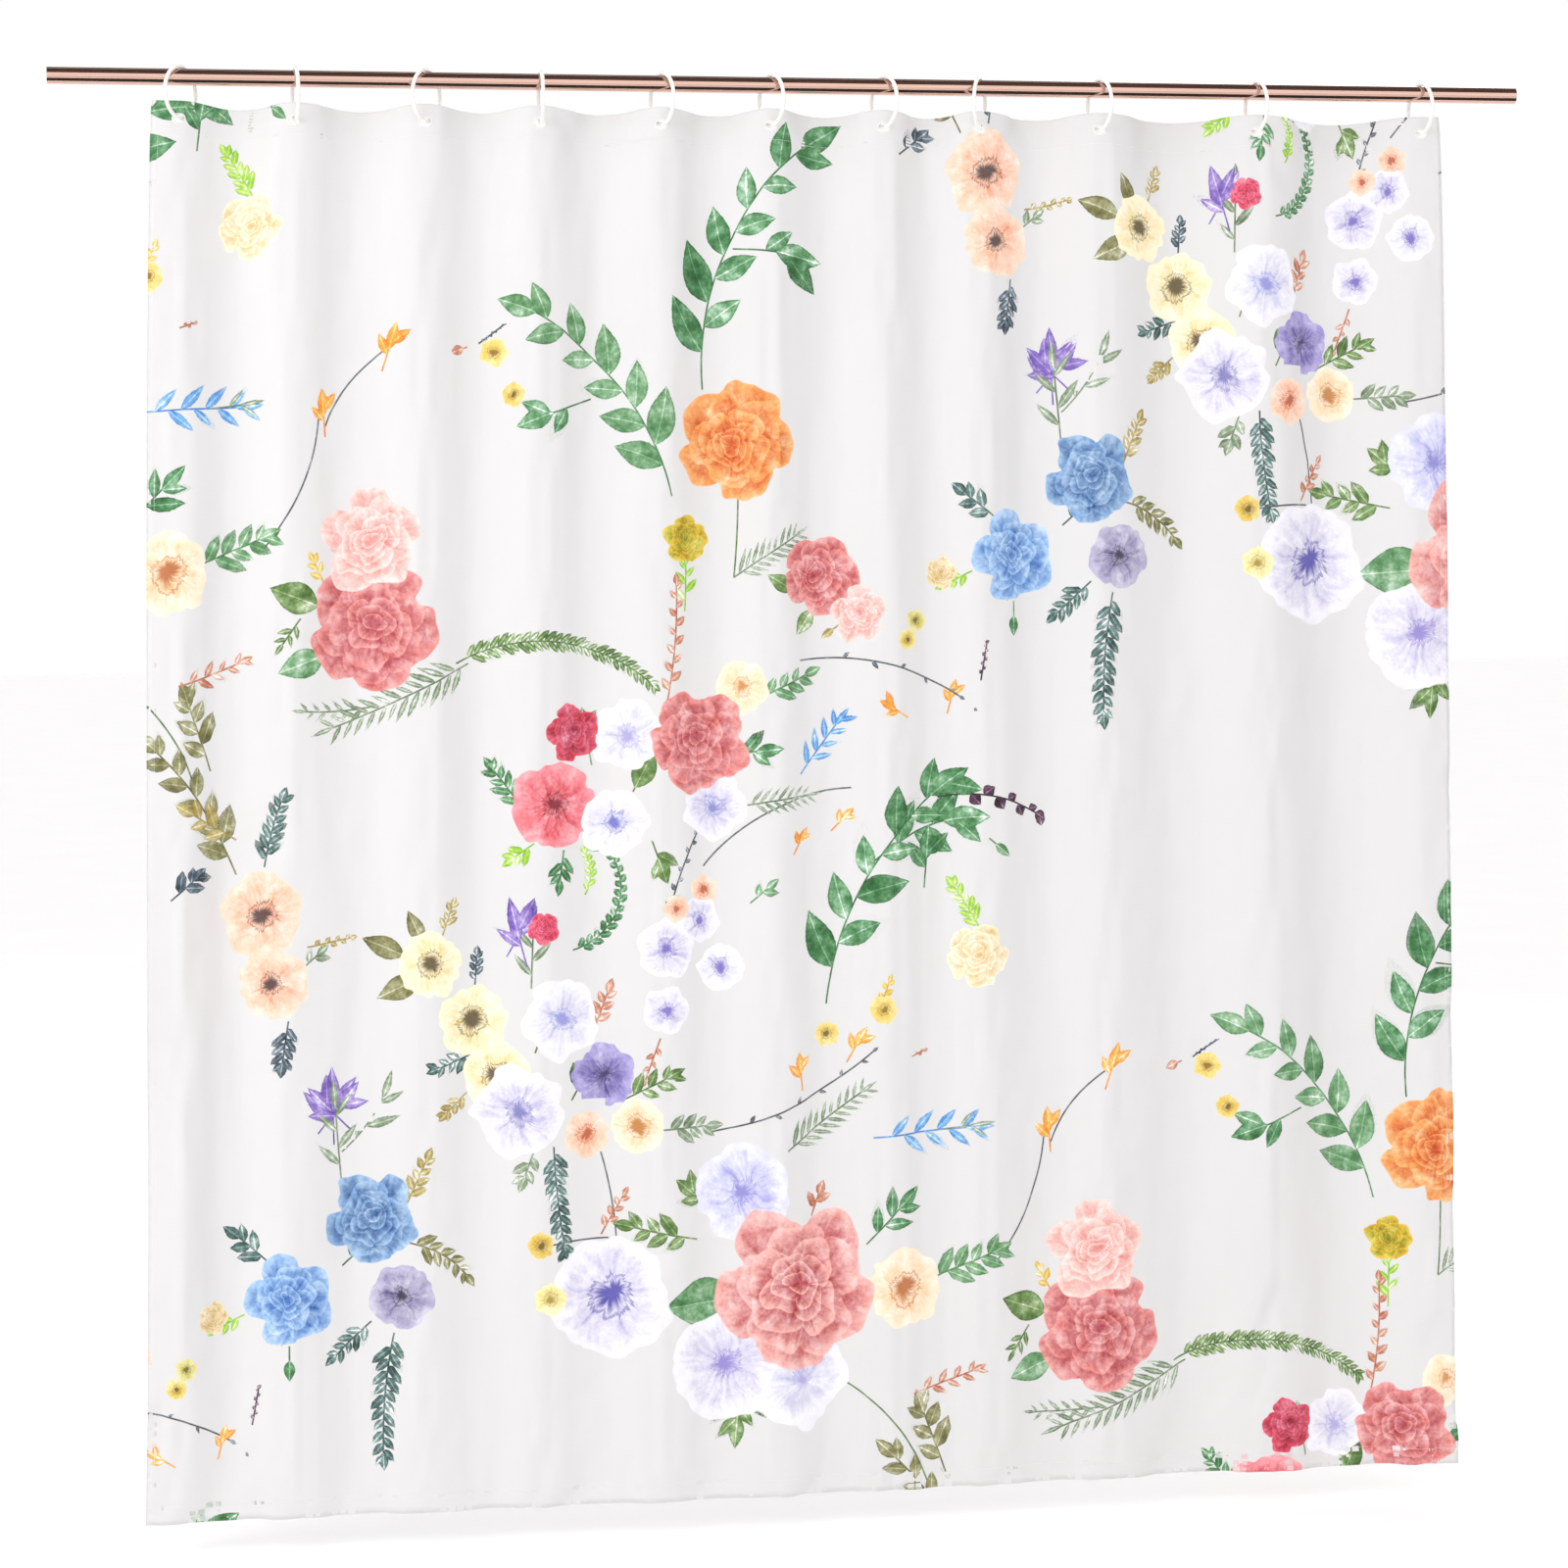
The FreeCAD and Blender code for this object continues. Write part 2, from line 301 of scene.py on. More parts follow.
@dataclass(frozen=True)
class Sprig:
    """A stem with leaves on both sides and one at its tip; berries and lily petals are short round leaves."""

    u: float
    v: float
    heading: float   # degrees, 0 to the right and 90 up
    stem: float
    leaf: float
    width: float     # half width of a leaf over its length
    pitch: float
    ink: Ink
    bend: float = 0.0  # turn of the whole stem, degrees, + to the left

    def local(self, p: np.ndarray) -> tuple[np.ndarray, np.ndarray]:
        """Distance along the stem and to its left.

        Args:
            p: Points right and up, in millimetres.

        Returns:
            The two distances.
        """
        angle = math.radians(self.heading)
        ahead = np.array([math.cos(angle), math.sin(angle)])
        left = np.array([-math.sin(angle), math.cos(angle)])
        rel = p - (self.u, -self.v)
        if abs(self.bend) < 1:
            return rel @ ahead, rel @ left
        radius = self.stem / math.radians(self.bend)
        x, y = rel @ ahead, rel @ left - radius
        turn = np.arctan2(x, -y * np.sign(radius))
        return abs(radius) * turn, radius - np.sign(radius) * np.hypot(x, y)


@dataclass(frozen=True)
class Bloom:
    """A flower seen from above: light at its petals' rims, dark toward its middle."""

    u: float
    v: float
    radius: float
    light: str
    dark: str
    heart: str = "#ffffff"
    heart_size: float = 0.0
    depth: float = 0.3   # how deep the clefts between petals are
    lean: float = 0.0    # degrees


SPRIGS = (
    # the branches round the orange peony
    Sprig(754, 360, 95, 370, 80, 0.25, 66, Ink.DEEP_GREEN, -60),
    Sprig(796, 176, -8, 60, 84, 0.24, 60, Ink.DEEP_GREEN),
    Sprig(708, 500, 103, 320, 70, 0.25, 56, Ink.GREEN, 52),
    Sprig(600, 372, 200, 60, 64, 0.25, 50, Ink.DEEP_GREEN),
    Sprig(795, 606, 84, 120, 1, 0.3, 90, Ink.MOSS, 6), Sprig(795, 606, 32, 100, 34, 0.08, 11, Ink.SAGE),
    Sprig(726, 650, 88, 62, 26, 0.2, 20, Ink.LIME), Sprig(700, 770, 78, 160, 20, 0.28, 24, Ink.RUST, 14),
    Sprig(880, 626, 150, 3, 52, 0.27, 99, Ink.MOSS), Sprig(908, 648, 232, 3, 50, 0.28, 99, Ink.MOSS),
    Sprig(945, 668, 215, 12, 26, 0.24, 14, Ink.KHAKI),
    # the fern arch and the feathery leaves under the pink roses
    Sprig(415, 715, 28, 290, 22, 0.24, 10.5, Ink.MOSS, -70),
    Sprig(432, 715, 208, 205, 40, 0.1, 16, Ink.SAGE, -8),
    Sprig(300, 770, 190, 90, 24, 0.12, 16, Ink.SAGE, -14), Sprig(232, 640, 160, 3, 84, 0.3, 99, Ink.MOSS),
    Sprig(240, 702, 200, 3, 80, 0.29, 99, Ink.GREEN), Sprig(238, 612, 118, 34, 20, 0.26, 14, Ink.GOLD),
    Sprig(205, 655, 235, 40, 24, 0.18, 14, Ink.MOSS),
    # the curved stems with lilies
    Sprig(157, 563, 48, 205, 1, 0.3, 90, Ink.TWIG, 42), Sprig(238, 408, 70, 145, 1, 0.3, 90, Ink.TWIG, -42),
    Sprig(313, 337, 72, 30, 46, 0.22, 30, Ink.AMBER), Sprig(238, 422, 95, 28, 44, 0.22, 28, Ink.AMBER),
    Sprig(752, 985, 50, 235, 1, 0.3, 90, Ink.TWIG, -48), Sprig(930, 942, 45, 20, 30, 0.22, 20, Ink.AMBER),
    Sprig(875, 972, 60, 20, 28, 0.22, 20, Ink.AMBER), Sprig(887, 716, 8, 240, 14, 0.2, 80, Ink.TWIG, -42),
    Sprig(1094, 789, 75, 22, 32, 0.22, 22, Ink.AMBER), Sprig(1037, 793, 150, 22, 32, 0.22, 22, Ink.AMBER),
    Sprig(1140, 745, 80, 50, 7, 0.45, 12, Ink.PLUM), Sprig(762, 1338, 8, 255, 14, 0.2, 70, Ink.TWIG, 34),
    Sprig(886, 1286, 95, 24, 36, 0.22, 24, Ink.AMBER), Sprig(949, 1251, 60, 26, 38, 0.22, 26, Ink.AMBER),
    Sprig(990, 1190, 70, 50, 16, 0.28, 14, Ink.GOLD), Sprig(1040, 1245, 20, 22, 6, 0.45, 9, Ink.RUST),
    Sprig(445, 300, 35, 40, 4, 0.5, 8, Ink.SLATE), Sprig(430, 305, 200, 6, 24, 0.34, 8, Ink.RUST),
    # the branch with berries, and the cream rose's leaves
    Sprig(922, 1172, 84, 330, 78, 0.25, 66, Ink.DEEP_GREEN, -46),
    Sprig(985, 985, 42, 120, 80, 0.24, 58, Ink.DEEP_GREEN, -30),
    Sprig(1080, 900, 12, 150, 21, 0.46, 36, Ink.PLUM, -44),
    Sprig(1150, 955, -40, 12, 34, 0.24, 99, Ink.GREEN),
    Sprig(138, 118, 118, 70, 24, 0.28, 13, Ink.LIME, 8), Sprig(60, 60, 85, 40, 56, 0.24, 36, Ink.DEEP_GREEN),
    # leaves of the middle bunch
    Sprig(790, 838, 5, 36, 46, 0.24, 24, Ink.DEEP_GREEN), Sprig(828, 765, 24, 74, 32, 0.25, 19, Ink.GREEN),
    Sprig(655, 885, 62, 6, 70, 0.28, 99, Ink.MOSS), Sprig(680, 950, -70, 24, 46, 0.28, 24, Ink.MOSS),
    Sprig(650, 940, 200, 30, 40, 0.26, 22, Ink.GREEN), Sprig(505, 905, 128, 64, 30, 0.24, 15, Ink.DEEP_GREEN),
    Sprig(520, 950, 215, 34, 26, 0.26, 14, Ink.LIME), Sprig(560, 960, 262, 40, 28, 0.26, 14, Ink.DEEP_GREEN),
    Sprig(600, 850, 100, 50, 36, 0.24, 22, Ink.SAGE), Sprig(745, 900, 50, 60, 34, 0.24, 20, Ink.RUST),
    Sprig(573, 1092, 12, 170, 15, 0.46, 13, Ink.DEEP_GREEN, 118),
    Sprig(590, 1020, 60, 60, 13, 0.46, 11, Ink.LIME, 60),
    Sprig(887, 866, 52, 84, 36, 0.15, 21, Ink.SKY), Sprig(808, 906, 8, 92, 28, 0.09, 12, Ink.SAGE),
    Sprig(985, 1352, 4, 135, 48, 0.15, 33, Ink.SKY), Sprig(1085, 1345, 8, 40, 40, 0.1, 30, Ink.SAGE),
    Sprig(865, 1366, 36, 130, 34, 0.09, 13, Ink.SAGE), Sprig(700, 1060, 80, 130, 12, 0.3, 26, Ink.TWIG, -20),
    Sprig(815, 1035, 40, 30, 26, 0.26, 18, Ink.GREEN), Sprig(690, 1210, 250, 60, 14, 0.26, 18, Ink.RUST),
    # leaves of the yellow and lilac bunch
    Sprig(360, 1100, 158, 18, 74, 0.24, 99, Ink.OLIVE), Sprig(372, 1120, 205, 8, 78, 0.25, 99, Ink.OLIVE),
    Sprig(372, 1085, 115, 10, 56, 0.24, 99, Ink.OLIVE), Sprig(395, 1068, 70, 40, 18, 0.3, 12, Ink.KHAKI),
    Sprig(440, 1135, 86, 40, 16, 0.36, 11, Ink.SLATE), Sprig(438, 1225, 200, 50, 26, 0.26, 16, Ink.TEAL),
    Sprig(430, 1275, 222, 40, 20, 0.34, 13, Ink.KHAKI), Sprig(640, 1292, 26, 66, 36, 0.22, 22, Ink.MOSS),
    Sprig(690, 1332, 2, 66, 30, 0.24, 18, Ink.SAGE), Sprig(520, 1225, 70, 10, 56, 0.26, 99, Ink.OLIVE),
    Sprig(600, 1205, 70, 60, 26, 0.28, 16, Ink.RUST), Sprig(570, 1290, 60, 30, 44, 0.28, 26, Ink.MOSS),
    Sprig(520, 1350, 250, 40, 30, 0.28, 18, Ink.SAGE),
    Sprig(545, 1350, 272, 135, 26, 0.28, 13.5, Ink.TEAL, 8),
    Sprig(600, 1330, 290, 180, 1, 0.3, 90, Ink.TWIG, -20), Sprig(610, 1470, 60, 60, 18, 0.28, 16, Ink.RUST),
    # the violet lily and iris with their leaves
    Sprig(510, 1112, 105, 38, 72, 0.17, 38, Ink.VIOLET), Sprig(482, 1099, 58, 34, 56, 0.2, 34, Ink.VIOLET),
    Sprig(515, 1150, 88, 100, 40, 0.14, 36, Ink.SAGE),
    Sprig(251, 1340, 92, 40, 80, 0.16, 40, Ink.VIOLET), Sprig(229, 1324, 50, 36, 62, 0.19, 36, Ink.VIOLET),
    Sprig(272, 1320, 135, 34, 58, 0.19, 34, Ink.VIOLET), Sprig(262, 1400, 95, 110, 50, 0.13, 44, Ink.SAGE),
    Sprig(262, 1350, 40, 90, 50, 0.13, 36, Ink.SAGE, 26),
    # leaves of the blue roses
    Sprig(348, 1470, -10, 96, 26, 0.27, 17, Ink.OLIVE, -42),
    Sprig(345, 1425, 66, 70, 24, 0.28, 15, Ink.KHAKI),
    Sprig(165, 1492, 142, 54, 34, 0.28, 20, Ink.TEAL), Sprig(300, 1575, 222, 64, 26, 0.27, 14, Ink.TEAL),
    Sprig(330, 1590, 258, 165, 30, 0.27, 16, Ink.TEAL, 14), Sprig(130, 1560, 205, 40, 22, 0.24, 14, Ink.LIME),
    Sprig(190, 1600, 270, 20, 34, 0.28, 22, Ink.DEEP_GREEN), Sprig(262, 1500, 40, 30, 30, 0.26, 22, Ink.TEAL),
    # leaves of the great pink rose
    Sprig(800, 1562, 184, 4, 124, 0.33, 99, Ink.GREEN), Sprig(740, 1480, 168, 90, 38, 0.26, 24, Ink.MOSS),
    Sprig(800, 1655, 265, 66, 56, 0.23, 30, Ink.MOSS), Sprig(840, 1650, 285, 40, 52, 0.24, 30, Ink.SAGE),
    Sprig(975, 1495, 46, 66, 52, 0.2, 28, Ink.DEEP_GREEN), Sprig(1062, 1548, 22, 96, 42, 0.24, 24, Ink.GREEN),
    Sprig(620, 1475, 178, 95, 1, 0.3, 90, Ink.TWIG, 14),
    Sprig(890, 1655, -18, 250, 1, 0.3, 90, Ink.MOSS, -54),
    Sprig(1040, 1700, 14, 90, 26, 0.2, 22, Ink.RUST, 10), Sprig(1085, 1810, 110, 90, 44, 0.28, 30, Ink.OLIVE),
    Sprig(900, 1455, 70, 30, 26, 0.3, 16, Ink.RUST), Sprig(760, 1440, 140, 30, 44, 0.26, 26, Ink.MOSS),
    # the left edge's brown and grey leaves, and the peach flowers' twigs
    Sprig(120, 985, 112, 200, 46, 0.26, 36, Ink.OLIVE, 24),
    Sprig(158, 975, 80, 90, 26, 0.28, 14, Ink.TEAL, -10),
    Sprig(120, 940, 150, 70, 36, 0.26, 26, Ink.KHAKI), Sprig(190, 1175, 262, 56, 26, 0.32, 13, Ink.SLATE),
    Sprig(215, 1080, 10, 60, 12, 0.34, 14, Ink.KHAKI), Sprig(205, 1110, 40, 30, 26, 0.24, 20, Ink.SAGE),
    Sprig(30, 1015, 40, 40, 30, 0.3, 20, Ink.SLATE), Sprig(1180, 640, 95, 60, 14, 0.3, 14, Ink.GOLD),
)

PINK, ROSE, BLUSH = ("#f6b9b2", "#b23f4c"), ("#ea9a96", "#ab3c4b"), ("#fcdcd4", "#e2908a")
LILAC, MIST = ("#efedf5", "#b6b0d8"), ("#f1f0f7", "#c5c4e0")
PEACH, CREAM = ("#fcd9c2", "#ef9f7d"), ("#fdf3d2", "#e9cd82")

ROSES = (
    Bloom(304, 668, 86, *ROSE), Bloom(300, 556, 68, *BLUSH),
    Bloom(798, 430, 80, "#f9b069", "#cc5018", lean=90),
    Bloom(744, 820, 70, *ROSE, lean=40), Bloom(574, 806, 38, "#e2566d", "#8e1230"),
    Bloom(915, 604, 54, *ROSE, lean=70),
    Bloom(970, 656, 38, *BLUSH), Bloom(301, 1440, 62, "#92b6de", "#27508a"),
    Bloom(190, 1542, 60, "#a5c9f2", "#3467b2", lean=30),
    Bloom(876, 1550, 112, *PINK, lean=15), Bloom(133, 152, 44, "#fcf3d8", "#e2bd80"),
    Bloom(728, 556, 32, "#e6bd35", "#7b8a1c"),
    Bloom(532, 1062, 22, "#f06a85", "#b3163f"), Bloom(88, 1562, 22, "#f0dfb5", "#c9a261"),
)

BLOOMS = (
    Bloom(547, 902, 58, "#f8949c", "#c81f3c", "#7c0c24", 0.2, 0.26),
    Bloom(155, 1037, 56, *PEACH, "#3d2f33", 0.24, 0.34),
    Bloom(169, 1127, 48, *PEACH, "#3d2f33", 0.22, 0.36, 30), Bloom(378, 1106, 44, *CREAM, "#4f4228", 0.26),
    Bloom(436, 1182, 48, *CREAM, "#4f4228", 0.26, 0.3, 40),
    Bloom(468, 1254, 46, *CREAM, "#5a4020", 0.26, 0.3, 15),
    Bloom(557, 1182, 54, *MIST, "#8f93d8", 0.2, 0.28, 20),
    Bloom(500, 1304, 62, *LILAC, "#7b78b8", 0.18, 0.3, 50),
    Bloom(698, 1092, 40, *LILAC, "#7566bd", 0.22, 0.34),
    Bloom(698, 1174, 32, *LILAC, "#7566bd", 0.24, 0.34, 25),
    Bloom(745, 1056, 30, *LILAC, "#7566bd", 0.24, 0.34, 50),
    Bloom(775, 1120, 32, *MIST, "#7566bd", 0.24, 0.34, 10),
    Bloom(590, 1336, 32, *PEACH, "#b85a38", 0.26, 0.34),
    Bloom(660, 1326, 38, "#fdecd2", "#f0c48e", "#c07a35", 0.26, 0.34, 20),
    Bloom(630, 926, 46, *MIST, "#6870c4", 0.24, 0.34, 30), Bloom(648, 812, 48, *MIST, "#a9a4da", 0.2, 0.3),
    Bloom(766, 906, 46, *LILAC, "#8084c8", 0.2, 0.34, 30),
    Bloom(806, 750, 36, "#fdecd2", "#f3cd98", "#d08a45", 0.26, 0.34),
    Bloom(614, 1258, 44, "#a79dd4", "#4c3f84", "#3a2f63", 0.16, 0.45, 18),
    Bloom(621, 1554, 84, *LILAC, "#4d46a8", 0.24, 0.3, 10),
    Bloom(803, 1418, 66, "#e6e6fb", "#a5a3e0", "#8a88cc", 0.16, 0.3, 30),
    Bloom(778, 1650, 74, *LILAC, "#8f82cc", 0.16, 0.3, 60),
    Bloom(880, 1670, 70, *MIST, "#a9a4da", 0.12, 0.28, 20),
    Bloom(1028, 1556, 54, "#fde9cf", "#f4c490", "#b8672f", 0.28, 0.34, 30),
    Bloom(341, 1542, 44, "#b9b4d0", "#695f8e", "#2a2540", 0.22, 0.34, 20),
    Bloom(465, 312, 19, "#f3dc86", "#d9ac38", "#8c6a1e", 0.3, 0.5),
    Bloom(492, 368, 16, "#ecd070", "#c9a035", "#6f5318", 0.3, 0.5),
    Bloom(1037, 690, 14, "#ecdc86", "#c9a035", "#6f5318", 0.3, 0.5),
    Bloom(1050, 665, 15, "#e6dc90", "#a9a035", "#6f6318", 0.3, 0.5),
    Bloom(922, 1212, 17, "#f3dc86", "#c99c38", "#6c5a1e", 0.3, 0.5),
    Bloom(1000, 1180, 20, "#f3dc86", "#d9ac38", "#8c6a1e", 0.3, 0.5),
    Bloom(752, 1016, 20, *PEACH, "#b85a38", 0.3, 0.4),
    Bloom(712, 1040, 18, *PEACH, "#b85a38", 0.3, 0.4),
    Bloom(540, 1552, 22, "#f6eeb4", "#d9c05a", "#a98a2a", 0.3, 0.45),
    Bloom(528, 1480, 18, "#ecd070", "#b99035", "#6f5318", 0.3, 0.5),
)


@dataclass(frozen=True)
class Whorl:
    """One ring of petals: its size, its number of petals, how far it is turned, and where its middle lies."""

    size: float
    petals: int
    turn: float
    x: float = 0.0
    y: float = 0.0


ROSE_WHORLS = (Whorl(1.0, 5, 0.3), Whorl(0.82, 5, 1.5, 0.03, -0.03), Whorl(0.63, 4, 0.4, -0.03, 0.02),
               Whorl(0.46, 4, 1.3, 0.02, 0.04), Whorl(0.31, 3, 0.2, 0.0, 0.05),
               Whorl(0.17, 3, 1.2, 0.01, 0.06))
BLOOM_WHORLS = (Whorl(0.94, 5, 1.57), Whorl(1.0, 5, 0.0))


class FlowerPrint:
    """Watercolour flowers in a half-drop repeat, as each motif's own coordinates on the cloth's faces.

    Each layer has room for motifs that don't overlap. A face holds where its corners lie on the motif,
    so a motif's edge is as sharp as the shader draws it, however large the faces are.
    """

    REPEAT = (1000.0, 960.0)   # mm across and down to the next copy
    LEAN = math.radians(42)    # angle between a leaf and its stem
    WASH_MM = 22.222           # breadth of the pools in a wash of colour
    TOOTH_MM = 4.5455          # roughness of a painted edge
    LEAF_LAYERS, ROSE_LAYERS, BLOOM_LAYERS = 4, 2, 3
    TURN_IN = 50.0             # mm of print beyond the top and bottom edges, for the hems
    NOWHERE = 1e4              # place of a face's corners where a layer holds no motif

    def copies(self, u: float, v: float, reach: float,
               size: tuple[float, float]) -> list[tuple[float, float]]:
        """Where a motif falls on the cloth.

        Args:
            u: Its place across.
            v: Its place down.
            reach: Its size.
            size: Width and drop of the cloth.

        Returns:
            Shifts of its copies.
        """
        shifts = []
        for i in range(-2, 3):
            for j in range(-2, 3):
                du, dv = i * self.REPEAT[0], j * self.REPEAT[1]
                high = reach + self.TURN_IN
                if (i + j) % 2 == 0 and -reach < u + du < size[0] + reach and -high < v + dv < size[1] + high:
                    shifts.append((du, dv))
        return shifts

    def paint(self, mesh: bpy.types.Mesh, printed: np.ndarray, size: tuple[float, float]) -> None:
        """Write the motifs' coordinates on a layer of cloth.

        Args:
            mesh: The layer, all of it quads.
            printed: Place of each vertex on the printed cloth, in millimetres.
            size: Width and drop of the cloth.
        """
        index = np.zeros(len(mesh.loops), int)
        mesh.loops.foreach_get("vertex_index", index)
        corner = printed[index].reshape(-1, 4, 2) * (1, -1)
        middle = corner.mean(1)
        share = np.zeros(len(corner))
        for kind, motifs, layers in (("leaf", SPRIGS, self.LEAF_LAYERS), ("bloom", BLOOMS, self.BLOOM_LAYERS),
                                     ("rose", ROSES, self.ROSE_LAYERS)):
            faces = len(corner)
            taken = np.zeros((layers, faces), bool)
            place = np.full((layers, faces, 4, 3), self.NOWHERE)
            one, two, three = (np.ones((layers, faces, 4, 4)) for _ in range(3))
            for number, m in enumerate(motifs):
                reach = m.stem + m.leaf if kind == "leaf" else m.radius * 1.3
                for du, dv in self.copies(m.u, m.v, reach, size):
                    at = middle - (du, -dv)
                    if kind == "leaf":
                        s, t = m.local(at)
                        near = (s > -9) & (s < m.stem + m.leaf + 9) & (abs(t) < m.leaf * 0.85 + 10)
                    else:
                        near = np.hypot(at[:, 0] - m.u, at[:, 1] + m.v) < m.radius * 1.18 + 9
                    if not near.any():
                        continue
                    clash = [int((taken[k] & near).sum()) for k in range(layers)]
                    k = int(np.argmin(clash))
                    near &= ~taken[k]
                    taken[k] |= near
                    here = corner[near] - (du, -dv)
                    if kind == "leaf":
                        s, t = m.local(here)
                        place[k, near] = np.stack([s, t, np.full_like(s, number + 0.37 * du / 1000)], -1)
                        one[k, near] = (m.stem, m.pitch, m.leaf, m.width)
                        two[k, near] = linear(m.ink.value)
                    else:
                        x, y = (here[..., 0] - m.u) / m.radius, (here[..., 1] + m.v) / m.radius
                        c, s = math.cos(math.radians(m.lean)), math.sin(math.radians(m.lean))
                        place[k, near] = np.stack([c * x + s * y, c * y - s * x, np.full_like(x, number)], -1)
                        one[k, near] = linear(m.light, m.depth)
                        two[k, near] = linear(m.dark)
                        three[k, near] = linear(m.heart, m.heart_size)
            share[taken.any(0)] = 1.0 if kind == "leaf" else 2.0
            for k in range(layers):
                spot = mesh.attributes.new(f"{kind}{k}_place", "FLOAT_VECTOR", "CORNER")
                spot.data.foreach_set("vector", place[k].ravel())
                facts = {"one": one, "two": two} | ({} if kind == "leaf" else {"three": three})
                for word, values in facts.items():
                    held = mesh.attributes.new(f"{kind}{k}_{word}", "FLOAT_COLOR", "CORNER")
                    held.data.foreach_set("color", values[k].ravel())
        mesh.attributes.new("printed", "FLOAT", "CORNER").data.foreach_set("value", np.repeat(share, 4))

    @classmethod
    def ink(cls, r: Recipe, flat: bpy.types.NodeSocket, ground: tuple) -> tuple[bpy.types.NodeSocket, ...]:
        """Paint the print over the ground colour.

        Args:
            r: The material being written.
            flat: Place on the cloth in millimetres.
            ground: Colour of the cloth.

        Returns:
            The colour with only the leaves, and with everything.
        """
        wash = r.add("TexNoise", flat, noise_dimensions="2D", Scale=1 / cls.WASH_MM, Detail=3.0,
                     Roughness=0.65, out="Fac")
        rough = r.add("TexNoise", flat, noise_dimensions="2D", Scale=1 / cls.TOOTH_MM, Detail=2.0,
                      Roughness=0.6, out="Fac")
        colour = ground
        for kind, layers, whorls in (("leaf", cls.LEAF_LAYERS, ()), ("bloom", cls.BLOOM_LAYERS, BLOOM_WHORLS),
                                     ("rose", cls.ROSE_LAYERS, ROSE_WHORLS)):
            name = f"watercolour_{kind}"
            group = bpy.data.node_groups.get(name)
            if group is None:
                group = cls.flowers(name, whorls, kind == "bloom") if whorls else cls.leaves(name)
            for k in range(layers):
                place = r.add("Attribute", attribute_name=f"{kind}{k}_place", out="Vector")
                facts = [r.add("Attribute", attribute_name=f"{kind}{k}_{word}", out="Color")
                         for word in (("one", "two", "three") if whorls else ("one", "two"))]
                alphas = [f.node.outputs["Alpha"] for f in facts]
                colour = r.add("Group", colour, place, wash, rough, facts[0], alphas[0], facts[1],
                               *([facts[2], alphas[2]] if whorls else []), node_tree=group)
            if kind == "leaf":
                leafy = colour
        return leafy, colour

    SOCKETS = {"Under": "Color", "Place": "Vector", "Wash": "Float", "Rough": "Float", "One": "Color",
               "One_alpha": "Float", "Two": "Color"}

    @classmethod
    def leaves(cls, name: str) -> bpy.types.NodeTree:
        """Write the group that paints one layer of sprigs.

        Args:
            name: Name of the group.

        Returns:
            The group.
        """
        r = Recipe(name, cls.SOCKETS)
        add, cos, sin = r.add, math.cos(cls.LEAN), math.sin(cls.LEAN)
        under, place, wash, rough, facts, width, ink, _ = add("NodeGroupInput").node.outputs
        s, t, seed = add("SeparateXYZ", place).node.outputs
        stem, pitch, leaf = add("SeparateXYZ", facts).node.outputs
        wide, side = add("Math ABSOLUTE", t), add("Math SIGN", t)
        shifted = add("Math MULTIPLY_ADD", add("Math MULTIPLY", side, 0.25), pitch, s)
        back = add("Math MULTIPLY_ADD", wide, -cos / sin, shifted)
        step = add("Math ROUND", add("Math DIVIDE", back, pitch))
        foot = add("Math MULTIPLY", step, pitch)
        x = add("Math SUBTRACT", shifted, foot)
        ahead = add("Math MULTIPLY_ADD", x, cos, add("Math MULTIPLY", wide, sin))
        off = add("Math ABSOLUTE", add("Math MULTIPLY_ADD", x, sin, add("Math MULTIPLY", wide, -cos)))
        share = add("Math DIVIDE", foot, stem)
        chance = add("TexWhiteNoise", add("CombineXYZ", step, side, seed), noise_dimensions="3D", out="Value")
        grown = add("Math MULTIPLY", add("Math MULTIPLY_ADD", share, -0.38, 1.06),
                    add("Math MULTIPLY_ADD", chance, 0.35, 0.78))
        size = add("Math MULTIPLY", leaf, grown)
        tip_size = add("Math MULTIPLY", leaf, 0.82)
        edges = []
        for length, from_foot, across in ((size, ahead, off),
                                          (tip_size, add("Math MULTIPLY_ADD", stem, -0.97, s), wide)):
            part = add("Math DIVIDE", from_foot, length)
            belly = add("Math SINE", add("Math MULTIPLY", add("Math POWER", part, 0.82), math.pi))
            inside = add("Math MULTIPLY", add("Math LESS_THAN", part, 1.0),
                         add("Math GREATER_THAN", part, 0.0))
            half = add("Math MULTIPLY", belly, add("Math MULTIPLY", length, width))
            edges.append(add("Math MULTIPLY_ADD", add("Math SUBTRACT", inside, 1.0), 99.0,
                             add("Math SUBTRACT", half, across)))
        real = add("Math MULTIPLY", add("Math GREATER_THAN", share, 0.05), add("Math LESS_THAN", share, 1.01))
        edges[0] = add("Math MULTIPLY_ADD", add("Math SUBTRACT", real, 1.0), 1000.0, edges[0])
        edge = add("Math MAXIMUM", *edges)
        first = add("Math GREATER_THAN", *edges)
        vein = add("Math MULTIPLY_ADD", first, add("Math SUBTRACT", off, wide), wide)
        torn = add("Math MULTIPLY_ADD", rough, 1.8, add("Math SUBTRACT", edge, 0.95))
        cover = add("MapRange", torn, -0.35, 0.45, 0.0, 1.0)
        line = add("Math MINIMUM", add("Math SUBTRACT", 1.0, wide),
                   add("Math MINIMUM", s, add("Math SUBTRACT", stem, s)))
        stalk = add("MapRange", line, -0.5, 0.3, 0.0, 1.0)
        pooled = add("MapRange", edge, 0.0, 3.0, 0.35, 0.0)
        veined = add("MapRange", vein, 0.3, 1.3, -0.45, 0.0)
        density = add("Math MULTIPLY_ADD", wash, 2.2, add("Math MULTIPLY_ADD", chance, 0.5, -0.72))
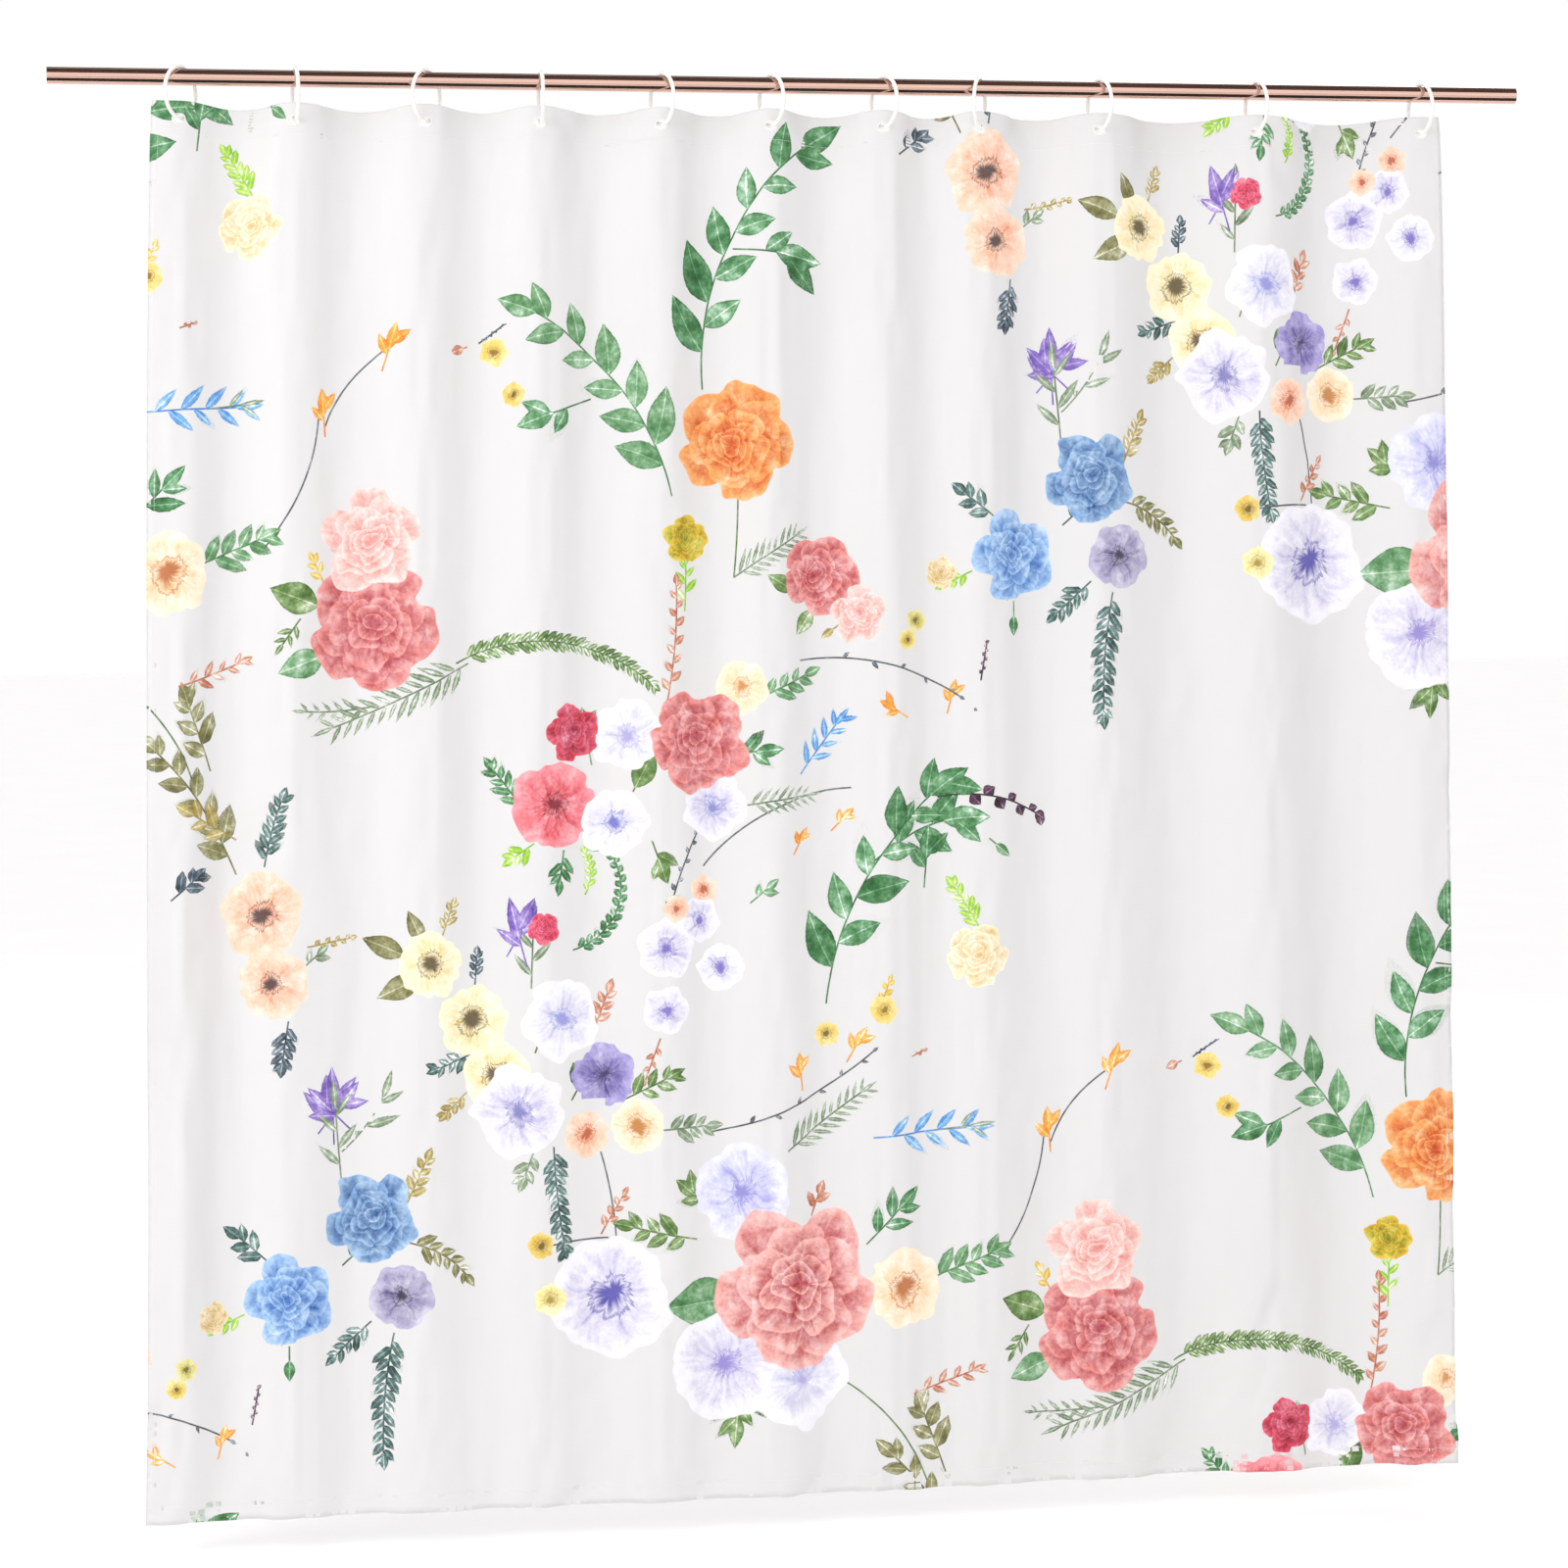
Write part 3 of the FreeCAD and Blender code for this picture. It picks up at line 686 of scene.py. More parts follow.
        density = add("Math ADD", add("Math MULTIPLY_ADD", rough, 0.5, density),
                      add("Math ADD", pooled, veined))
        bare_stalk = add("Math MULTIPLY", stalk, add("Math SUBTRACT", 1.0, cover))
        density = add("Math MULTIPLY_ADD", bare_stalk, 0.4, density)
        paint = add("Gamma", ink, density)
        add("NodeGroupOutput", add("MixRGB", add("Math MAXIMUM", cover, stalk), under, paint))
        return r.tree

    @classmethod
    def flowers(cls, name: str, whorls: Sequence[Whorl], hearted: bool) -> bpy.types.NodeTree:
        """Write the group that paints one layer of flowers.

        Args:
            name: Name of the group.
            whorls: Rings of petals from the outside in.
            hearted: Whether the flowers have a heart with stamens.

        Returns:
            The group.
        """
        r = Recipe(name, cls.SOCKETS | {"Three": "Color", "Three_alpha": "Float"})
        add = r.add
        under, spot, wash, rough, light, depth, dark, heart, reach, _ = add("NodeGroupInput").node.outputs
        seed = add("SeparateXYZ", spot, out=2)
        apart = add("CombineXYZ", add("Math MULTIPLY", seed, 3.7), seed)
        stir = add("TexNoise", add("VectorMath ADD", spot, apart), noise_dimensions="2D", Scale=1.7,
                   Detail=1.0, out="Color")
        warped = add("VectorMath MULTIPLY_ADD", stir, (0.34, 0.34, 0.0),
                     add("VectorMath SUBTRACT", spot, (0.17, 0.17, 0.0)))
        warped = add("VectorMath MULTIPLY", warped, (1.0, 1.0, 0.0))
        x, y, _ = add("SeparateXYZ", warped).node.outputs
        rays = add("CombineXYZ", add("Math MULTIPLY", add("Math ARCTAN2", y, x), 5.0),
                   add("VectorMath LENGTH", warped, out="Value"), add("Math MULTIPLY", seed, 1.9))
        streak = add("TexNoise", rays, Scale=1.6, Detail=1.0, out="Fac")
        for number, whorl in enumerate(whorls):
            moved = add("VectorMath SUBTRACT", warped, (whorl.x, whorl.y, 0.0))
            x, y, _ = add("SeparateXYZ", moved).node.outputs
            away = add("Math DIVIDE", add("VectorMath LENGTH", moved, out="Value"), whorl.size)
            turned = add("Math MULTIPLY_ADD", seed, 1.9, whorl.turn)
            bearing = add("Math MULTIPLY_ADD", add("Math ARCTAN2", y, x), whorl.petals / 2, turned)
            petal = add("Math ABSOLUTE", add("Math COSINE", bearing))
            full = add("Math POWER", petal, 0.5)
            rim = add("Math MULTIPLY_ADD", add("Math SUBTRACT", full, 1.0), depth, 1.0)
            out = add("Math DIVIDE", away, rim)
            cover = add("MapRange", out, 1.012, 0.985, 0.0, 1.0)
            cleft = add("MapRange", petal, 0.0, 0.42, -0.5 if hearted else -0.35, 0.0)
            glow = add("MapRange", out, 0.80, 0.97, 0.0, 0.30)
            lit = add("Math MULTIPLY_ADD", add("Math POWER", out, 2.0), 0.62, 0.48 if hearted else 0.04)
            lit = add("Math MULTIPLY_ADD", add("Math SUBTRACT", rough, 0.5), 0.5, lit)
            lit = add("Math MULTIPLY_ADD", add("Math SUBTRACT", streak, 0.5), 0.9, lit)
            lit = add("Math ADD", add("Math ADD", lit, cleft), glow)
            shade = add("MixRGB", lit, dark, light, use_clamp=True)
            shade = add("Gamma", shade, add("Math MULTIPLY_ADD", wash, 1.8, 0.05))
            under = add("MixRGB", cover, under, shade)
        if hearted:
            far = add("VectorMath LENGTH", moved, out="Value")
            frayed = add("Math MULTIPLY_ADD", streak, 0.3, add("Math SUBTRACT", far, 0.15))
            cover = add("MapRange", frayed, add("Math MULTIPLY", reach, 1.15),
                        add("Math MULTIPLY", reach, 0.6), 0.0, 0.92)
            anthers = add("Math COMPARE", frayed, add("Math MULTIPLY", reach, 1.35), 0.03)
            ringed = add("Math MULTIPLY", anthers, 0.55)
            under = add("MixRGB", add("Math MAXIMUM", cover, ringed), under, heart)
        add("NodeGroupOutput", under)
        return r.tree


# ---------------------------------------------------------------- the cloth


@cache
def ring_places() -> tuple[float, ...]:
    """Find the rings.

    Returns:
        Middle of each ring across the object, in millimetres.
    """
    boxes = [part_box(name) for name in RINGS]
    return tuple((low[0] + high[0]) / 2 / MM for low, high in boxes)


EYE_PATCH = 20.0  # mm, half the side of the square that is redrawn round each buttonhole
EYE_CELLS = 10    # cells along that square's side


@dataclass(frozen=True)
class Cut:
    """The flat cloth, in millimetres."""

    drop: float = 1830.0
    left_margin: float = 35.0
    right_margin: float = 26.0
    fullness: float = 1.0757  # flat width over hung width, between rings
    eye_depth: float = 22.0   # from the top edge down to the middle of a buttonhole
    eye_half_straight: float = 2.0
    eye_radius: float = 5.0
    thickness: float = 0.4
    top_hem: float = 42.0
    bottom_hem: float = 26.0
    side_hem: float = 12.0
    seam_inset: float = 2.5

    @property
    def eyes(self) -> np.ndarray:
        """Place the buttonholes under the rings.

        Returns:
            Middle of each buttonhole across the flat cloth.
        """
        across = np.array(ring_places())
        return self.left_margin + (across - across[0]) * self.fullness

    @property
    def width(self) -> float:
        """Measure the flat cloth.

        Returns:
            Its width.
        """
        return float(self.eyes[-1]) + self.right_margin

    def eye_edge(self, turn: np.ndarray, out: float = 0.0) -> np.ndarray:
        """Edge of a buttonhole, as offsets from its middle.

        Args:
            turn: Share of the way round, from 0 to 1.
            out: How far outside the edge, in millimetres.

        Returns:
            Offsets in millimetres.
        """
        angle = 2 * math.pi * turn
        edge = (self.eye_radius + out) * np.stack([np.cos(angle), np.sin(angle)], -1)
        edge[:, 0] += self.eye_half_straight * np.clip(np.cos(angle) * 3, -1, 1)
        return edge


class Drape:
    """The cloth as it hangs: a cloth simulation from gentle folds, held at the buttonholes."""

    CELL = 15.0      # mm between simulated threads
    FRONT = -6.0     # y of the cloth's front at the rings, mm
    FOLD = 0.538     # slope of the folds at the top, radians
    EASE = 0.42      # how much the folds open out toward the hem
    SAG = 9.0        # dip of the top edge between rings, mm
    SAG_DEPTH = 260  # how far down the dip dies away, mm
    SWAY = 5.0       # how far the hem wanders to the front and back, mm
    SEED = 11
    FRAMES = 36      # of simulation
    HELD = (10, 31)  # cloth held at a ring: half its width, and its depth from the top edge, mm
    NEAR = 1.5       # mm over which a direction on the cloth is measured

    def __init__(self, cut: Cut) -> None:
        """Lay out the simulated grid.

        Args:
            cut: The flat cloth.
        """
        self.cut = cut
        self.across = np.linspace(0, cut.width, round(cut.width / self.CELL) + 1)
        self.down = np.linspace(0, cut.drop, round(cut.drop / self.CELL) + 1)
        low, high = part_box("curtain_panel")
        self.left, self.right, self.top = low[0] / MM, high[0] / MM, high[2] / MM
        self.grid = self.start()
        self.grid = self.settle(self.grid)
        self.padded = self.pad(self.grid)

    def start(self) -> np.ndarray:
        """Fold the cloth gently before it settles.

        Returns:
            Rows of points in millimetres.
        """
        fine = np.linspace(0, self.cut.width, 6001)
        step = fine[1] - fine[0]
        rng = np.random.default_rng(self.SEED)
        ends = self.cut.eyes
        sway = rng.uniform(-1, 1, (len(ends) - 1, 3))
        rows = []
        for v in self.down:
            open_out = (v / self.cut.drop) ** 0.8
            slope, dip = np.zeros_like(fine), np.zeros_like(fine)
            for i, (a, b) in enumerate(zip(ends, ends[1:])):
                inside = (fine >= a) & (fine < b)
                q = (fine[inside] - a) / (b - a)
                lean = 0.10 * sway[i, 0] * open_out
                deep = self.FOLD * (1 - self.EASE * open_out) * (1 + 0.12 * sway[i, 1] * open_out)
                slope[inside] = deep * np.sin(2 * math.pi * q + lean * np.sin(math.pi * q))
                dip[inside] = self.SAG * np.sin(math.pi * q) ** 2 * math.exp(-v / self.SAG_DEPTH)
            x = np.concatenate([[0], np.cumsum(np.cos(slope[:-1]))]) * step
            y = np.concatenate([[0], np.cumsum(np.sin(slope[:-1]))]) * step
            y += self.SWAY * open_out * np.sin(2 * math.pi * fine / self.cut.width * 1.5 + 0.8)
            x += (self.left + self.right) / 2 - x[-1] / 2
            x, y, dip = (np.interp(self.across, fine, line) for line in (x, y, dip))
            rows.append(np.stack([x, self.FRONT + y, self.top - v - dip], -1))
        return np.array(rows)

    def settle(self, start: np.ndarray) -> np.ndarray:
        """Let the cloth hang under its weight and apply the result.

        Args:
            start: Rows of points in millimetres.

        Returns:
            The settled rows of points.
        """
        rows, cols = start.shape[:2]
        mesh = bpy.data.meshes.new("settling_cloth")
        quads = [(j * cols + i, j * cols + i + 1, (j + 1) * cols + i + 1, (j + 1) * cols + i)
                 for j in range(rows - 1) for i in range(cols - 1)]
        mesh.from_pydata((start.reshape(-1, 3) * MM).tolist(), [], quads)
        cloth = bpy.data.objects.new("settling_cloth", mesh)
        bpy.context.collection.objects.link(cloth)
        held = np.zeros((rows, cols), bool)
        for eye in self.cut.eyes:
            held |= (abs(self.across - eye) < self.HELD[0])[None, :] & (self.down < self.HELD[1])[:, None]
        group = cloth.vertex_groups.new(name="held")
        group.add(np.flatnonzero(held.ravel()).tolist(), 1.0, "REPLACE")
        modifier = cloth.modifiers.new("Cloth", "CLOTH")
        soft = modifier.settings
        soft.quality, soft.mass, soft.air_damping = 4, 0.0003, 0.3
        soft.tension_stiffness = soft.compression_stiffness = 40
        soft.shear_stiffness, soft.bending_stiffness = 12, 0.06
        soft.vertex_group_mass = "held"
        modifier.point_cache.frame_end = self.FRAMES
        scene = bpy.context.scene
        for step in range(1, self.FRAMES + 1):
            scene.frame_set(step)
        bpy.ops.object.select_all(action="DESELECT")
        bpy.context.view_layer.objects.active = cloth
        bpy.ops.object.modifier_apply(modifier=modifier.name)
        settled = np.zeros(rows * cols * 3)
        cloth.data.vertices.foreach_get("co", settled)
        bpy.data.objects.remove(cloth)
        bpy.data.meshes.remove(mesh)
        scene.frame_set(1)
        settled = settled.reshape(rows, cols, 3) / MM
        LOG.info("cloth settled by up to %.1f mm", float(np.abs(settled - start).max()))
        return settled

    @staticmethod
    def pad(grid: np.ndarray) -> np.ndarray:
        """Continue the grid by one point on every side.

        Args:
            grid: Rows of points.

        Returns:
            The larger grid.
        """
        grid = np.concatenate([2 * grid[:1] - grid[1:2], grid, 2 * grid[-1:] - grid[-2:-1]], 0)
        before, after = 2 * grid[:, :1] - grid[:, 1:2], 2 * grid[:, -1:] - grid[:, -2:-1]
        return np.concatenate([before, grid, after], 1)

    def surface(self, flat: np.ndarray) -> np.ndarray:
        """Front of the hung cloth over points of the flat cloth.

        Args:
            flat: Points (u, v) in millimetres.

        Returns:
            Points in millimetres.
        """
        weights, index = [], []
        for axis, line in ((0, self.across), (1, self.down)):
            t = flat[:, axis] / (line[1] - line[0])
            i = np.clip(np.floor(t).astype(int), 0, len(line) - 2)
            f = t - i
            weights.append(np.stack([((2 - f) * f - 1) * f / 2, (f * f * (3 * f - 5) + 2) / 2,
                                     ((4 - 3 * f) * f + 1) * f / 2, (f - 1) * f * f / 2], -1))
            index.append(i)
        spot = np.zeros((len(flat), 3))
        for a in range(4):
            for b in range(4):
                share = weights[0][:, a] * weights[1][:, b]
                spot += share[:, None] * self.padded[index[1] + b, index[0] + a]
        return spot

    def axes(self, flat: np.ndarray) -> tuple[np.ndarray, np.ndarray, np.ndarray]:
        """Unit directions on the cloth at points of the flat cloth.

        Args:
            flat: Points (u, v) in millimetres.

        Returns:
            Along u, along v, and out of the front.
        """
        along = [self.surface(flat + d) - self.surface(flat - d) for d in np.eye(2) * self.NEAR]
        along = [a / np.linalg.norm(a, axis=1, keepdims=True) for a in along]
        out = np.cross(along[1], along[0])
        return along[0], along[1], out / np.linalg.norm(out, axis=1, keepdims=True)


class Side(Enum):
    """Which way a layer of cloth faces."""

    FRONT = 1
    BACK = -1


@dataclass
class Layer:
    """One layer of the cloth, cut from the flat and hung on the drape."""

    name: str
    node: str
    columns: np.ndarray
    rows: np.ndarray
    eyes: Sequence[float]
    side: Side
    fold: Callable[[np.ndarray], Folded]

    def cells(self, cut: Cut, half: float, steps: int) -> tuple[np.ndarray, list[tuple[int, ...]]]:
        """Grid of the layer with its buttonholes cut out.

        Args:
            cut: The flat cloth.
            half: Half the side of the square redrawn round each buttonhole.
            steps: Cells along that square's side.

        Returns:
            Flat points and the faces between them.
        """
        cols, rows = len(self.columns), len(self.rows)
        points = np.stack(np.meshgrid(self.columns, self.rows), -1).reshape(-1, 2)
        middle_u = (self.columns[1:] + self.columns[:-1]) / 2
        middle_v = (self.rows[1:] + self.rows[:-1]) / 2
        open_cell = np.zeros((rows - 1, cols - 1), bool)
        for eye in self.eyes:
            open_cell |= ((abs(middle_v - cut.eye_depth) < half)[:, None]
                          & (abs(middle_u - eye) < half)[None, :])
        faces = [(j * cols + cols + i, j * cols + cols + i + 1, j * cols + i + 1, j * cols + i)
                 for j in range(rows - 1) for i in range(cols - 1) if not open_cell[j, i]]
        rounds = 5
        for eye in self.eyes:
            i0 = int(np.argmin(abs(self.columns - (eye - half))))
            j0 = int(np.argmin(abs(self.rows - (cut.eye_depth - half))))
            loop = [(j0 + steps // 2 + k, i0 + steps) for k in range(steps // 2)]
            loop += [(j0 + steps, i0 + steps - k) for k in range(steps)]
            loop += [(j0 + steps - k, i0) for k in range(steps)]
            loop += [(j0, i0 + k) for k in range(steps)]
            loop += [(j0 + k, i0 + steps) for k in range(steps // 2)]
            outer = np.array([j * cols + i for j, i in loop])
            count = len(outer)
            rim = cut.eye_edge(np.arange(count) / count) + (eye, cut.eye_depth)
            last = outer
            for k in range(1, rounds + 1):
                share = (k / rounds) ** 0.75
                ring = points[outer] * (1 - share) + rim * share
                first = len(points)
                points = np.concatenate([points, ring])
                new = np.arange(first, first + count)
                faces += [(int(last[n]), int(new[n]), int(new[(n + 1) % count]), int(last[(n + 1) % count]))
                          for n in range(count)]
                last = new
        used = np.unique(np.array(faces))
        renumber = np.zeros(len(points), int)
        renumber[used] = np.arange(len(used))
        return points[used], [tuple(int(renumber[c]) for c in f) for f in faces]

    def build(self, drape: Drape, finishes: Sequence[bpy.types.Material]) -> bpy.types.Object:
        """Make the layer and hang it on its body.

        Args:
            drape: The hung cloth.
            finishes: Outer and inner material.

        Returns:
            The finished piece.
        """
        cut = drape.cut
        points, faces = self.cells(cut, EYE_PATCH, EYE_CELLS)
        place, lift, printed = self.fold(points)
        spots = drape.surface(place) + drape.axes(place)[2] * lift[:, None]
        if self.side is Side.BACK:
            faces = [tuple(reversed(f)) for f in faces]
        mesh = bpy.data.meshes.new(self.name)
        mesh.from_pydata((spots * MM).tolist(), [], faces)
        piece = bpy.data.objects.new(self.name, mesh)
        bpy.context.collection.objects.link(piece)
        flat = mesh.attributes.new("flat_mm", "FLOAT_VECTOR", "POINT")
        flat.data.foreach_set("vector", np.c_[printed, np.zeros(len(printed))].ravel())
        FlowerPrint().paint(mesh, printed, (cut.width, cut.drop))
        for finish in finishes:
            mesh.materials.append(finish)
        mesh.polygons.foreach_set("use_smooth", [True] * len(mesh.polygons))
        thicken = piece.modifiers.new("Thickness", "SOLIDIFY")
        thicken.thickness, thicken.offset = cut.thickness * MM, -1.0
        thicken.material_offset = 1
        bpy.ops.object.select_all(action="DESELECT")
        bpy.context.view_layer.objects.active = piece
        bpy.ops.object.modifier_apply(modifier=thicken.name)
        return hang(piece, self.node)


def hang(piece: bpy.types.Object, node: str) -> bpy.types.Object:
    """Let a piece of the curtain ride on the hung body and stand for its CAD node.

    Args:
        piece: The piece, in place.
        node: The CAD node it stands for.

    Returns:
        The piece.
    """
    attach(piece, HUNG)
    ring_places()[0] * MM
    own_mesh(piece)
    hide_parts(node)
    LOG.info("%s: %d faces", piece.name, len(piece.data.polygons))
    return piece


class Curtain:
    """The cloth with its hems, seams and worked buttonholes."""

    ACROSS, DOWN = 12.0, 11.5  # mm, the widest cells of the grid
    BACK_INK = 0.35            # how much of the print shows through on the wrong side

    def __init__(self, cut: Cut) -> None:
        """Hang the cloth.

        Args:
            cut: The flat cloth.
        """
        self.cut = cut
        self.drape = Drape(cut)
        front = Polyester().make("polyester_woven_printed", 1.0)
        wrong = Polyester().make("polyester_woven_wrong_side", self.BACK_INK)
        self.finishes = (front, wrong)
        self.thread = SpunThread().make()
        patch = np.linspace(-EYE_PATCH, EYE_PATCH, EYE_CELLS + 1)
        self.columns = self.lines(cut.width, self.ACROSS, np.concatenate([eye + patch for eye in cut.eyes]),
                                  (cut.side_hem, cut.width - cut.side_hem))
        self.rows = self.lines(cut.drop, self.DOWN, cut.eye_depth + patch, (cut.drop - cut.bottom_hem,))

    @staticmethod
    def lines(length: float, pitch: float, fixed: np.ndarray, more: Iterable[float]) -> np.ndarray:
        """Grid lines over a length that pass through fixed places.

        Args:
            length: The length.
            pitch: Widest gap between lines.
            fixed: Places that a line passes through.
            more: Further such places, dropped where they fall inside a fixed patch.

        Returns:
            The lines in order.
        """
        marks = [0.0, length, *fixed]
        marks += [m for m in more if min(abs(m - f) for f in fixed) > 3]
        marks = sorted(marks)
        made = [marks[0]]
        for a, b in zip(marks, marks[1:]):
            if b - a < 1e-6:
                continue
            count = max(1, math.ceil((b - a) / pitch - 1e-6))
            made += list(a + (b - a) * np.arange(1, count + 1) / count)
        return np.array(made)

    def panel(self) -> bpy.types.Object:
        """Hang the main layer.

        Returns:
            The piece.
        """
        def fold(p: np.ndarray) -> Folded:
            """Leave the layer unfolded.

            Args:
                p: Points of the layer.

            Returns:
                The same points, with no height.
            """
            return p, np.zeros(len(p)), p

        return Layer("curtain_cloth", "curtain_panel", self.columns, self.rows, self.cut.eyes, Side.FRONT,
                     fold).build(self.drape, self.finishes)

    def hem(self, name: str, node: str, edge: str, deep: float) -> bpy.types.Object:
        """A hem, folded to the back over one edge of the cloth.

        Args:
            name: Piece name.
            node: CAD node that it stands for.
            edge: "top", "bottom", "left" or "right".
            deep: Depth of the hem.

        Returns:
            The piece.
        """
        cut = self.cut
        axis = 1 if edge in ("top", "bottom") else 0
        far = (cut.width, cut.drop)[axis] if edge in ("bottom", "right") else 0.0
        way = -1.0 if far else 1.0
        rest = cut.thickness + 0.12
        # how the cloth rolls over the edge: place on the print, distance in from the edge, height
        roll = np.array([(-2.4, 0.9, 0.05), (-1.8, 0.3, 0.17), (-1.3, -0.1, 0.12), (-0.9, -0.3, -0.1),
                         (-0.5, -0.3, -0.35), (0.0, 0.1, -rest), (deep, deep, -rest)])
        line = self.rows if axis else self.columns
        inner = np.sort((line - far) * way)
        inner = inner[(inner > 1e-6) & (inner < deep - 1e-6)]
        steps = np.concatenate([roll[:6, 0], inner, [deep]])

        def fold(p: np.ndarray) -> Folded:
            """Roll the hem over the edge to the back.

            Args:
                p: Points of the layer.

            Returns:
                Where they lie over the cloth, how high, and their place on the print.
            """
            inset = p[:, axis] if way > 0 else far - p[:, axis]
            place, printed = p.copy(), p.copy()
            distance = np.where(inset > 0.1, inset, np.interp(inset, roll[:, 0], roll[:, 1]))
            height = np.interp(inset, roll[:, 0], roll[:, 2])
            if axis:  # the top and bottom hems pass over the side hems
                side = np.minimum(p[:, 0], cut.width - p[:, 0])
                height -= (1 - smooth_step((side - cut.side_hem) / 4)) * (cut.thickness + 0.1) * (inset > 0)
            place[:, axis] = far + way * distance
            printed[:, axis] = far - way * inset
            return place, height, printed

        eyes = cut.eyes if edge == "top" else ()
        across = self.columns if axis else self.rows
        down = steps if way > 0 else np.sort(far - steps)
        columns, rows = (across, down) if axis else (down, across)
        return Layer(name, node, columns, rows, eyes, Side.BACK, fold).build(self.drape, self.finishes)


@dataclass
class Seam:
    """A row of lockstitches, seen on both faces of a hem."""

    name: str
    node: str
    edge: str
    inset: float            # mm in from the edge of the cloth
    pitch: float = 3.0      # three stitches to the centimetre, as on such hems
    length: float = 2.6
    thread: float = 0.5

    def stitch(self) -> tuple[np.ndarray, np.ndarray]:
        """Model one stitch: a slim bead, thicker in its middle.

        Returns:
            Its points in millimetres and its faces, as three corners each.
        """
        bpy.ops.object.select_all(action="DESELECT")
        bpy.ops.mesh.primitive_uv_sphere_add(segments=6, ring_count=5, radius=0.5)
        bead = bpy.context.object
        bpy.ops.object.mode_set(mode="EDIT")
        bpy.ops.mesh.select_all(action="SELECT")
        bpy.ops.transform.resize(value=(self.thread, self.thread, self.length))
        bpy.ops.mesh.quads_convert_to_tris()
        bpy.ops.object.mode_set(mode="OBJECT")
        points = np.array([v.co[:] for v in bead.data.vertices])
        faces = np.array([p.vertices[:] for p in bead.data.polygons])
        mesh = bead.data
        bpy.data.objects.remove(bead)
        bpy.data.meshes.remove(mesh)
        return points, faces

    def build(self, drape: Drape, thread: bpy.types.Material) -> bpy.types.Object:
        """Sew the seam.

        Args:
            drape: The hung cloth.
            thread: The thread's material.

        Returns:
            The finished piece.
        """
        cut = drape.cut
        upright = self.edge in ("left", "right")
        long, far = (cut.drop, cut.width) if upright else (cut.width, cut.drop)
        ends = (cut.top_hem, cut.drop - cut.bottom_hem) if upright else (0.0, long)
        run = np.arange(ends[0] + self.pitch, ends[1] - self.pitch / 2, self.pitch)
        line = np.full_like(run, far - self.inset if self.edge in ("right", "bottom") else self.inset)
        flat = np.stack([line, run] if upright else [run, line], -1)
        along, down, out = drape.axes(flat)
        if not upright:
            along, down = down, along
        spots = drape.surface(flat)
        bead, tris = self.stitch()
        points, faces = [], []
        for height in (0.08, -2 * cut.thickness - 0.18):
            centre = spots + out * height
            made = (centre[:, None] + bead[None, :, 0, None] * along[:, None]
                    + bead[None, :, 1, None] * out[:, None] + bead[None, :, 2, None] * down[:, None])
            first = len(points) * made.shape[0] * made.shape[1]
            points.append(made.reshape(-1, 3))
            stitches = np.arange(len(flat))[:, None, None] * len(bead)
            faces.append((tris[None] + stitches + first).reshape(-1, 3))
        if float(np.linalg.det(np.stack([along[0], out[0], down[0]]))) < 0:
            faces = [f[:, ::-1] for f in faces]
        return sewn(self.name, self.node, np.concatenate(points), np.concatenate(faces).tolist(), thread)


def sewn(name: str, node: str, points: np.ndarray, faces: list,
         thread: bpy.types.Material) -> bpy.types.Object:
    """Make a piece of thread and hang it with the curtain.

    Args:
        name: Piece name.
        node: CAD node that it stands for.
        points: Points in millimetres.
        faces: Faces.
        thread: The thread's material.

    Returns:
        The finished piece.
    """
    mesh = bpy.data.meshes.new(name)
    mesh.from_pydata((points * MM).tolist(), [], faces)
    mesh.polygons.foreach_set("use_smooth", [True] * len(mesh.polygons))
    mesh.materials.append(thread)
    piece = bpy.data.objects.new(name, mesh)
    bpy.context.collection.objects.link(piece)
    return hang(piece, node)


@dataclass
class WorkedEdge:
    """Satin stitch round a buttonhole: close ridges of thread that wrap the cloth's cut edge."""

    name: str
    node: str
    eye: float              # place across the flat cloth
    width: float = 2.2
    height: float = 1.75
    ridges: int = 64        # real thread is about half as coarse; drawn so that it shows
    around: int = 10

    def build(self, drape: Drape, thread: bpy.types.Material) -> bpy.types.Object:
        """Work the edge.

        Args:
            drape: The hung cloth.
            thread: The thread's material.

        Returns:
            The finished piece.
        """
        cut = drape.cut
        count = self.ridges * 4
        turn = np.arange(count) / count
        full = 1 + 0.13 * np.cos(2 * math.pi * turn * self.ridges)
        section = 2 * math.pi * np.arange(self.around) / self.around
        points = []
        for angle in section:
            reach = cut.eye_edge(turn, self.width / 2 - 0.1)
            inner = cut.eye_edge(turn, self.width / 2 - 0.1 + 0.01)
            way = (inner - reach) / np.linalg.norm(inner - reach, axis=1, keepdims=True)
            swell = (math.cos(angle) * self.width / 2 * full)[:, None]
            flat = reach + way * swell + (self.eye, cut.eye_depth)
            points.append(drape.surface(flat) + drape.axes(flat)[2]
                          * (math.sin(angle) * self.height / 2 * full - cut.thickness)[:, None])
        points = np.stack(points, 1).reshape(-1, 3)
        faces = [(i * self.around + j, i * self.around + (j + 1) % self.around,
                  (i + 1) % count * self.around + (j + 1) % self.around, (i + 1) % count * self.around + j)
                 for i in range(count) for j in range(self.around)]
        return sewn(self.name, self.node, points, faces, thread)


# ---------------------------------------------------------------- the studio

CARD_LENGTH = 9.0   # metres, along the rod


@dataclass(frozen=True)
class Card:
    """A glowing card alongside the rod."""

    name: str
    spot: tuple[float, float]  # y and z of its middle, metres
    tilt: float                # turn about the rod's axis, degrees
    width: float               # metres
    colour: str
    glow: float


